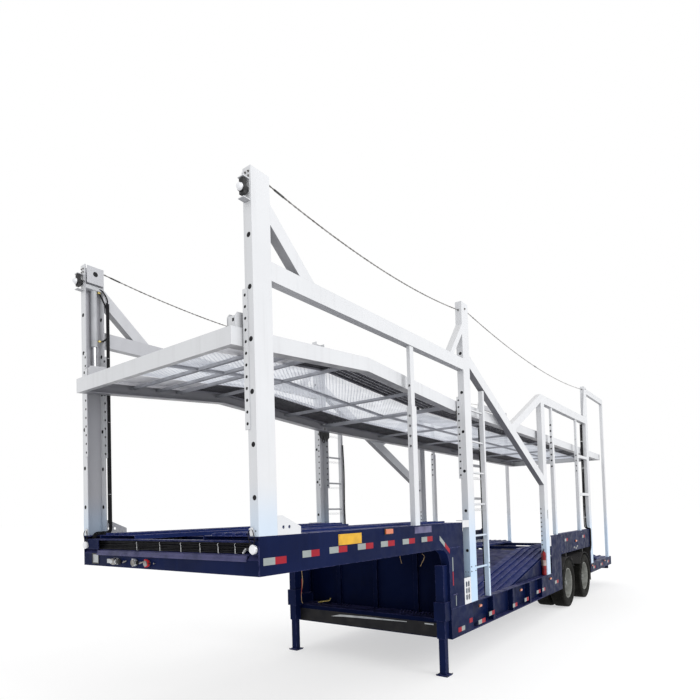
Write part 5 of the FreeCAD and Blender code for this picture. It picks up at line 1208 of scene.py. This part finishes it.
def make_post_hoses():
    """Hoses from the lift cylinders, down the ladders and down the rear posts, with their clips."""
    for number, (radius, sides, places) in enumerate(POST_HOSES, start=1):
        hose = Shape()
        for side in sides:
            hose.tube(curve_by(places, side), radius)
        hose.piece(f"post_hose_{number}", "hose_rubber", "hose", smooth=True)
    clips = Shape()
    for height in (3.4, 2.8, 2.2, 1.7):
        clips.block((10.212, 10.278), (1.136, 1.188), (height, height + 0.012))
    for height in (2.75, 2.1, 1.45, 0.95):
        clips.torus((at(4.366), 1.17, height), UP, 0.0135, 0.0025, 16, 6)
    clips.pair("post_hose_clips", "hose_rubber", "tie_white")


def make_post_fittings():
    """The cylinders' unions, the bolts and the lamps' leads on the posts."""
    brass, bolts, leads = Shape(), Shape(), Shape()
    for height in (3.79, 4.3):
        brass.bar(0.15, (1.17, 1.192), height, 0.011, 6)
        brass.bar((0.168, 0.14), (1.176, 1.184), height, 0.009, 12)
    brass.pair("cylinder_unions", "bare_steel", "brass")
    for height, y in product((4.478, 4.512), (1.196, 1.228)):
        bolts.nut((at(0), y, height), AHEAD, 0.011, 0.009)
    for height in (4.293, 4.426):
        bolts.nut((at(0), LAMP_Y, height), AHEAD, 0.01, 0.008)
    for station, height in ((MID_POST + 0.1, 4.56), (10.39, 4.6)):
        bolts.nut((at(station), SIDE_Y, height), LEFT, 0.016, 0.011)
    bolts.pair("post_bolts", "bare_steel", "steel", bevel=0.0006)
    for side in SIDES:
        leads.tube(curve_by(LAMP_LEAD, side), LEAD_RADIUS, 8)
    leads.piece("lamp_leads", "hose_rubber", "hose", smooth=True)


def make_lamp_backs():
    """The black housings behind the round lamps on the post brackets."""
    low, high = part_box("lamp_brackets")
    profile = ((0, 0), (0, 0.026), (0.03, 0.033), (0.06, 0.033), (0.06, 0))
    backs = Shape().lathe(profile, (at(-0.012), LAMP_Y, LAMP_Z), AHEAD, 28)
    backs.box((low.x + 0.03, LAMP_Y - 0.024, low.z + 0.036),
              (high.x - 0.008, LAMP_Y + 0.024, high.z - 0.012))
    backs.pair("lamp_housings", "lamp_lens", "plastic", smooth=True)


# ---------------- extinguisher

SHOULDER = 0.045  # height of the bottle's rounded shoulder
NECK_RADIUS, NECK_LENGTH = 0.012, 0.01
LABEL_HEIGHTS = (0.165, 0.262)
VALVE_PARTS = (
    # rear and front X from the bottle's axis, lower and upper height, tilt in degrees
    (-0.01, 0.01, 0.396, 0.44, 0), (-0.045, 0.012, 0.432, 0.44, 0), (-0.045, 0.012, 0.452, 0.459, -10),
)
VALVE_HOSE = (
    (0.01, 0, 0.425), (0.034, -0.008, 0.415), (0.046, -0.01, 0.33), (0.042, -0.008, 0.2),
    (0.041, -0.006, 0.12),
)


def make_extinguisher():
    """A red bottle with a rounded shoulder, a blank label, two straps, a valve and a hose."""
    low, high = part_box("extinguisher")
    foot = Vector(((low.x + high.x) / 2, (low.y + high.y) / 2, low.z))
    radius = (high.x - low.x) / 2
    tall = high.z - low.z
    shoulder = []
    for angle in (0, 18, 36, 54, 72, 90):
        turn = math.radians(angle)
        shoulder.append((tall - NECK_LENGTH - SHOULDER + SHOULDER * math.sin(turn),
                         NECK_RADIUS + (radius - NECK_RADIUS) * math.cos(turn)))
    profile = [(0, 0), (0, radius * 0.86), (0.01, radius * 0.92), (0.014, radius)] + shoulder
    bottle = Shape().lathe(profile + [(tall, NECK_RADIUS), (tall, 0)], foot, UP, 36)
    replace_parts(bottle.piece("extinguisher_bottle", "extinguisher_red", "red", smooth=True), "extinguisher")
    start, end = LABEL_HEIGHTS
    skin = radius + 0.0008
    label = Shape().lathe(((start, radius), (start, skin), (end, skin), (end, radius)), foot, UP, 36)
    label.piece("extinguisher_blank_label", "extinguisher_red", "label_pale", smooth=True)
    valve = Shape()
    for height in (0.1, 0.32):
        valve.torus(foot + Vector((0, 0, height)), UP, radius + 0.001, 0.003, 36, 6)
    hinge = foot + Vector((0.012, 0, 0.452))
    for rear, front, bottom, top, tilt in VALVE_PARTS:
        valve.box(foot + Vector((rear, -0.006, bottom)), foot + Vector((front, 0.006, top)), tilt, "Y", hinge)
    valve.tube(curve_through([foot + Vector(place) for place in VALVE_HOSE]), 0.006)
    valve.piece("extinguisher_valve", "bare_steel", "plastic", smooth=True)


# ---------------- the posts' holes and plates

HOLE_ROWS = (
    # stations of the plates' front faces, distance from the middle, radius, first height, pitch, count
    ((0.0, 0.192), SIDE_Y - 0.035, 0.02, 2.07, 0.393, 6),
    ((MID_POST,), SIDE_Y - 0.035, 0.02, 1.42, 0.508, 6),
    ((-0.008, 0.2), SIDE_Y - 0.082, 0.012, 2.62, 0.088, 12),
    ((MID_POST - 0.008, MID_POST + 0.2), SIDE_Y - 0.082, 0.012, 2.388, 0.088, 12),
    ((2.386,), SIDE_Y - 0.03, 0.014, 2.643, 0.11, 4),
    ((2.386,), SIDE_Y - 0.03, 0.014, 3.303, 0.11, 1),
    ((7.68, 9.48), SIDE_Y - 0.03, 0.014, 2.703, 0.11, 4),
)
FACE_ROWS = (
    # station of the post's front face, distance from the middle, radius, first height, pitch, count
    (SIDE_POST, 1.181, 0.012, 1.29, 0.079, 9),
    (7.634, 1.22, 0.016, 2.703, 0.11, 8),
)


def make_hole_shades():
    """Dark discs set in the pin holes that aren't in use, and dark dots on the faces: painted shade inside
    the holes.
    """
    hole_shades = Shape()
    for stations, y, radius, first, pitch, count in HOLE_ROWS:
        for station, index in product(stations, range(count)):
            height = first + index * pitch
            hole_shades.bar((station + 0.0065, station + 0.0015), y, height, radius - 0.0004, 20)
    for station, y, radius, first, pitch, count in FACE_ROWS:
        for index in range(count):
            height = first + index * pitch
            hole_shades.bar((station + 0.0005, station - 0.0012), y, height, radius)
    hole_shades.block((7.13, 7.146), (TAPE_BACK, SIDE_Y + 0.0012), (1.745, 1.9))
    hole_shades.pair("pin_hole_plugs", "post_paint", "hole_dark")


def make_post_plates():
    """Closing plates inside the front posts' tops, with dark discs for their hand holes and for the holes of
    the posts' feet: painted shade inside the holes.
    """
    top = FRONT_POST_HIGH.z
    plates = Shape().block((0.01, 0.19), (1.144, 1.148), (top - 0.19, top - 0.012))
    plates.pair("post_top_plates", "post_paint", "white", bevel=0.001)
    holes = Shape().bar(0.1, (1.1435, 1.1445), top - 0.085, 0.026, 24)
    feet = ((NECK_HIGH.z, 0.0), (LOWER_HIGH.z, MID_POST), (LOWER_HIGH.z, SIDE_POST))
    for (foot, station), y in product(feet, (SIDE_Y - 0.03, SIDE_Y - 0.065)):
        holes.bar((station - 0.0005, station + 0.001), y, foot + 0.04, 0.006, 12)
    holes.pair("post_dark_holes", "post_paint", "hole_dark")


LUG_OUTLINE = (
    # station and height
    (-0.055, 3.345), (-0.055, 3.44), (-0.035, 3.47), (0.12, 3.486), (0.15, 3.47), (0.15, 3.362),
)
HINGE_OUTLINE = (
    (3.7, 3.225), (3.7, 3.16), (3.74, 3.11), (3.9, 3.095), (3.955, 3.14), (3.955, 3.225),
)
HINGE_STATION = MID_POST + 0.1


def make_lug_plates():
    """The folded brackets round the front deck's lift lugs, with thin dark pieces in their slots: painted
    shade in the openings.
    """
    plates, slots = Shape(), Shape()
    plates.plate(LUG_OUTLINE, (1.104, 1.112))
    plates.plate(LUG_OUTLINE, (1.016, 1.024))
    plates.block((-0.06, -0.052), (1.036, 1.104), (3.346, 3.44))
    slots.block((-0.0605, -0.0585), (1.082, 1.103), (3.395, 3.42))
    for span in ((1.1115, 1.113), (1.016, 1.015)):
        slots.bar(0.075, span, 3.42, 0.02, 20)
    plates.pair("lift_lug_plates", "post_paint", "white", "front_deck", bevel=0.002)
    slots.pair("lift_lug_slots", "post_paint", "hole_dark", "front_deck")


def make_joint_hardware():
    """The dark hinge plates and bolts under the joint of the two decks; the dark plates behind the gap
    between the decks also paint its shade.
    """
    plates = Shape().plate(HINGE_OUTLINE, (1.133, 1.142))
    for station in (3.73, 3.925):
        plates.nut((at(station), 1.133, 3.18), (0, -1, 0), 0.018, 0.014)
    plates.bar(HINGE_STATION, (1.12, 1.165), 3.13, 0.03, 24)
    plates.torus((at(HINGE_STATION), 1.15, 3.085), LEFT, 0.028, 0.008)
    plates.pair("hinge_plates", "lift_paint", "dark_steel", bevel=0.001)


# ---------------- under the gooseneck

TREAD_COUNT, TREAD_PITCH, TREAD_WIDTH = 15, 0.045, 0.015
BEAM_FACE = 3.1375  # station of the lower beam's front face
WEAR_STRIP = (
    # Y and height
    (-0.56, 0.52), (-0.3, 0.533), (0.0, 0.541), (0.64, 0.56), (0.64, 0.567), (0.2, 0.567),
    (-0.05, 0.566), (-0.4, 0.556),
)
BAY_CABLES = (
    # name, finish, radius, places as (station, Y, height)
    ("bay_cable_tan", "wire_tan", 0.006, (
        (3.148, -1.096, 1.33), (3.15, -1.09, 1.19), (3.136, -1.072, 1.08), (3.146, -1.07, 0.96),
        (3.13, -1.084, 0.82), (3.132, -1.09, 0.7), (3.15, -1.086, 0.655))),
    ("bay_cable_red", "wire_red", 0.007, (
        (3.14, -1.08, 1.01), (3.136, -1.078, 0.9), (3.128, -1.088, 0.79), (3.13, -1.094, 0.72))),
    ("bay_wire_left", "wire_tan", 0.004, (
        (3.3, 0.545, 1.392), (3.296, 0.5, 1.386), (3.292, 0.482, 1.36), (3.3, 0.49, 1.3),
        (3.31, 0.492, 1.27))),
    ("bay_wire_right", "wire_tan", 0.004, (
        (3.3, 0.8, 1.4), (3.29, 0.834, 1.372), (3.29, 0.822, 1.33), (3.3, 0.79, 1.28),
        (3.31, 0.765, 1.245))),
)


def make_bay():
    """The bay behind the legs: treads on the shelf, cables, a lever and the lower beam's wear strip."""
    treads = Shape()
    for first, index in product((-1.05, 0.42), range(TREAD_COUNT)):
        y = first + index * TREAD_PITCH
        treads.block((3.27, 3.455), (y, y + TREAD_WIDTH), (0.6395, 0.648), 24)
    # The treads take the lit copy of the navy paint, a painted highlight.
    treads.piece("shelf_treads", "chassis_paint", "navy_lit")
    beam = Shape().block((BEAM_FACE, BEAM_FACE + 0.002), (-1.13, 1.13), (0.425, 0.588))
    beam.piece("lower_beam_face", "chassis_paint", "black")
    back, front = BEAM_FACE + 0.0002, BEAM_FACE - 0.001
    ends = [[(at(station), y, height) for y, height in WEAR_STRIP] for station in (back, front)]
    strip = Shape().skin(ends)
    strip.block((front, back), (0.89, 1.01), (0.56, 0.574))
    strip.piece("lower_beam_wear_strip", "bare_steel", "plate_silver")
    for name, finish, radius, places in BAY_CABLES:
        Shape().tube(curve_by(places), radius).piece(name, "hose_rubber", finish, smooth=True)
    lever = Shape().bar((3.29, 3.375), (-0.905, -0.76), (0.662, 0.685), 0.013, 12)
    lever.bar((3.375, 3.38), (-0.76, -0.748), (0.685, 0.72), 0.009, 12)
    lever.piece("bay_lever", "bare_steel", "brass", smooth=True)


LEG_HALF, SLEEVE_HALF = 0.07, 0.074
SLEEVE_FOOT, SLEEVE_TOP = 0.64, 0.86


def make_leg_details():
    """Sleeves on the landing legs and the bolts of their feet."""
    low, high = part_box("landing_legs")
    x = (low.x + high.x) / 2
    y = high.y - LEG_HALF
    collars = Shape().box((x - SLEEVE_HALF, y - SLEEVE_HALF, SLEEVE_FOOT),
                          (x + SLEEVE_HALF, y + SLEEVE_HALF, SLEEVE_TOP))
    collars.pair("leg_collars", "chassis_paint", "navy", bevel=0.003)
    bolts = Shape()
    for along, across in product((-LEG_HALF, LEG_HALF), repeat=2):
        bolts.nut((x + along, y + across, low.z + 0.012), UP, 0.009, 0.008)
    bolts.pair("leg_bolts", "bare_steel", "dark_steel")


# ---------------- running gear

AXLES = (8.43, 9.74)
AXLE_HEIGHT = 0.46
LEAVES, LEAF_PITCH = 6, 0.012
LEAF_HALF, LEAF_SHORTER = 0.5, 0.07  # half length of the top leaf and what each next one lacks
LEAF_TOP, LEAF_RISE = 0.5235, 0.09
U_BOLT, SPRING_EYE = 0.075, 0.59  # distances from the axle
BRAKE_POT = (
    # distance along and radius
    (0, 0), (0, 0.06), (0.01, 0.078), (0.06, 0.082), (0.066, 0.09), (0.074, 0.09), (0.08, 0.082),
    (0.14, 0.078), (0.155, 0.05), (0.155, 0),
)
AIR_TANK = (
    (0, 0), (0, 0.05), (0.015, 0.1), (0.045, 0.125), (0.655, 0.125), (0.685, 0.1), (0.7, 0.05),
    (0.7, 0),
)
TANK_STATIONS, TANK_HEIGHT = (7.9, 9.085), 0.935


def make_springs():
    """Leaf packs under the springs, their U-bolts with plates, and the shackle bolts."""
    leaves, bolts = Shape(), Shape()
    for axle in AXLES:
        for index in range(LEAVES):
            half = LEAF_HALF - LEAF_SHORTER * index
            top = LEAF_TOP + LEAF_PITCH * (LEAVES - index - 1)
            rise = LEAF_RISE * (half / LEAF_HALF) ** 2
            points = [(axle + share * half, top + share ** 2 * rise) for share in (-1, -0.5, 0, 0.5, 1)]
            leaves.strip(points, 0, -0.01, (0.452, 0.528))
        for way in (-1, 1):
            station = axle + way * U_BOLT
            for y in (0.44, 0.54):
                bolts.bar(station, y, (0.385, 0.61), 0.009, 12)
            bolts.bar(station, (0.436, 0.544), 0.604, 0.009, 12)
            bolts.block((station - 0.014, station + 0.014), (0.425, 0.555), (0.385, 0.396))
            bolts.bar(axle + way * SPRING_EYE, (0.43, 0.55), 0.72, 0.016)
    leaves.pair("spring_leaves", "running_gear_paint", "black", bevel=0.001)
    bolts.pair("spring_bolts", "bare_steel", "dark_steel", smooth=True)


def make_brakes():
    """Brake chambers with their hoses beside the axles, and the air tanks between the rails."""
    pots, hoses, tanks = Shape(), Shape(), Shape()
    for axle in AXLES:
        pots.lathe(BRAKE_POT, (at(axle - 0.2), 0.33, 0.6), (1, 0, 0.15), 32)
        pots.bar((axle - 0.2, axle - 0.06), 0.33, (0.6, 0.56), 0.012, 12)
        hoses.tube(curve_by((
            (axle - 0.3, 0.33, 0.69), (axle - 0.28, 0.26, 0.8), (axle - 0.24, 0.18, 0.86),
            (axle - 0.24, 0.12, 0.905))), 0.009)
    pots.pair("brake_chambers", "running_gear_paint", "black", smooth=True)
    hoses.pair("brake_hoses", "hose_rubber", "hose", smooth=True)
    for station in TANK_STATIONS:
        tanks.lathe(AIR_TANK, (at(station), -0.35, TANK_HEIGHT), LEFT, 40)
        for y in (-0.18, 0.18):
            tanks.torus((at(station), y, TANK_HEIGHT), LEFT, 0.127, 0.006, 40, 6)
    tanks.piece("air_tanks", "running_gear_paint", "black", smooth=True)


HUMP_BRACKETS = (
    # station and height of the lower edge
    (8.86, 1.11), (8.99, 1.085), (9.09, 1.12),
)
FLAP_FACE = 10.2295  # station of the mudflaps' front face
FENDER_RADIUS = 0.603


def make_hump_details():
    """Brackets and bolts over the wheels, ribs on the mudflaps and light bolts on the fenders."""
    steel, ribs, bolts = Shape(), Shape(), Shape()
    for station, height in HUMP_BRACKETS:
        steel.block((station - 0.03, station + 0.05), (TAPE_BACK, SIDE_Y + 0.006), (height, height + 0.03))
        bolts.nut((at(station), SIDE_Y + 0.005, height + 0.015), LEFT, 0.01, 0.008)
    for station, height in product((7.96, 8.4, 9.5, 10.1), (1.4, 1.1)):
        bolts.nut((at(station), SIDE_Y, height), LEFT, 0.012, 0.009)
    steel.pair("hump_brackets", "bare_steel", "plate_silver", bevel=0.001)
    for index in range(7):
        y = 0.7 + index * 0.08
        ribs.block((FLAP_FACE, FLAP_FACE + 0.0045), (y, y + 0.012), (0.35, 0.76))
    ribs.block((FLAP_FACE, FLAP_FACE + 0.0065), (0.655, 1.235), (0.93, 0.965))
    ribs.pair("mudflap_ribs", "flap_rubber", "rubber", bevel=0.001)
    for y in (0.7, 0.86, 1.02, 1.18):
        bolts.nut((at(FLAP_FACE + 0.0065), y, 0.948), (-1, 0, 0), 0.01, 0.008)
    for axle, y, turn in product(AXLES, (0.72, 0.9, 1.08, 1.2), (45, 135)):
        out = Vector((math.cos(math.radians(turn)), 0, math.sin(math.radians(turn))))
        bolts.nut(out * FENDER_RADIUS + Vector((at(axle), y, AXLE_HEIGHT)), out, 0.009, 0.007)
    bolts.pair("hump_bolts", "bare_steel", "steel")


RUNG_COUNT, RUNG_PITCH = 6, 0.415
RUNG_Y = SIDE_Y - 0.03
GRIP_START, GRIP_PITCH, GRIP_COUNT = 3.985, 0.043, 9


def make_ladder_details():
    """Grip treads on the rungs, weld collars at their ends and the feet's bolts."""
    _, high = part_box("ladders")
    grips, bolts = Shape(), Shape()
    for index in range(RUNG_COUNT):
        height = LOWER_HIGH.z + (index + 1) * RUNG_PITCH
        if height < high.z:
            for step in range(GRIP_COUNT):
                station = GRIP_START + step * GRIP_PITCH
                grips.torus((at(station), RUNG_Y, height), AHEAD, 0.0142, 0.0016, 16, 6)
            for station in (3.955, 4.345):
                grips.torus((at(station), RUNG_Y, height), AHEAD, 0.017, 0.004, 20, 6)
    grips.pair("ladder_grips", "post_paint", "white")
    for station, rise in product((3.76, 3.89, 4.355), (0.045, 0.105)):
        bolts.nut((at(station), SIDE_Y, LOWER_HIGH.z + rise), LEFT, 0.011, 0.008)
    bolts.pair("post_foot_bolts", "bare_steel", "steel")


# ---------------- the whole model

make_wires()
make_deck_tracks()
make_deck_mesh()
make_deck_members()
make_tyres()
make_rims()
make_tapes()
make_side_lamps()
make_tail_lamps()
make_marker_lamps()
make_foot_clamps()
make_hoses()
make_couplings()
make_front_fittings()
make_post_hoses()
make_post_fittings()
make_lamp_backs()
make_extinguisher()
make_hole_shades()
make_post_plates()
make_lug_plates()
make_joint_hardware()
make_bay()
make_leg_details()
make_springs()
make_brakes()
make_hump_details()
make_ladder_details()
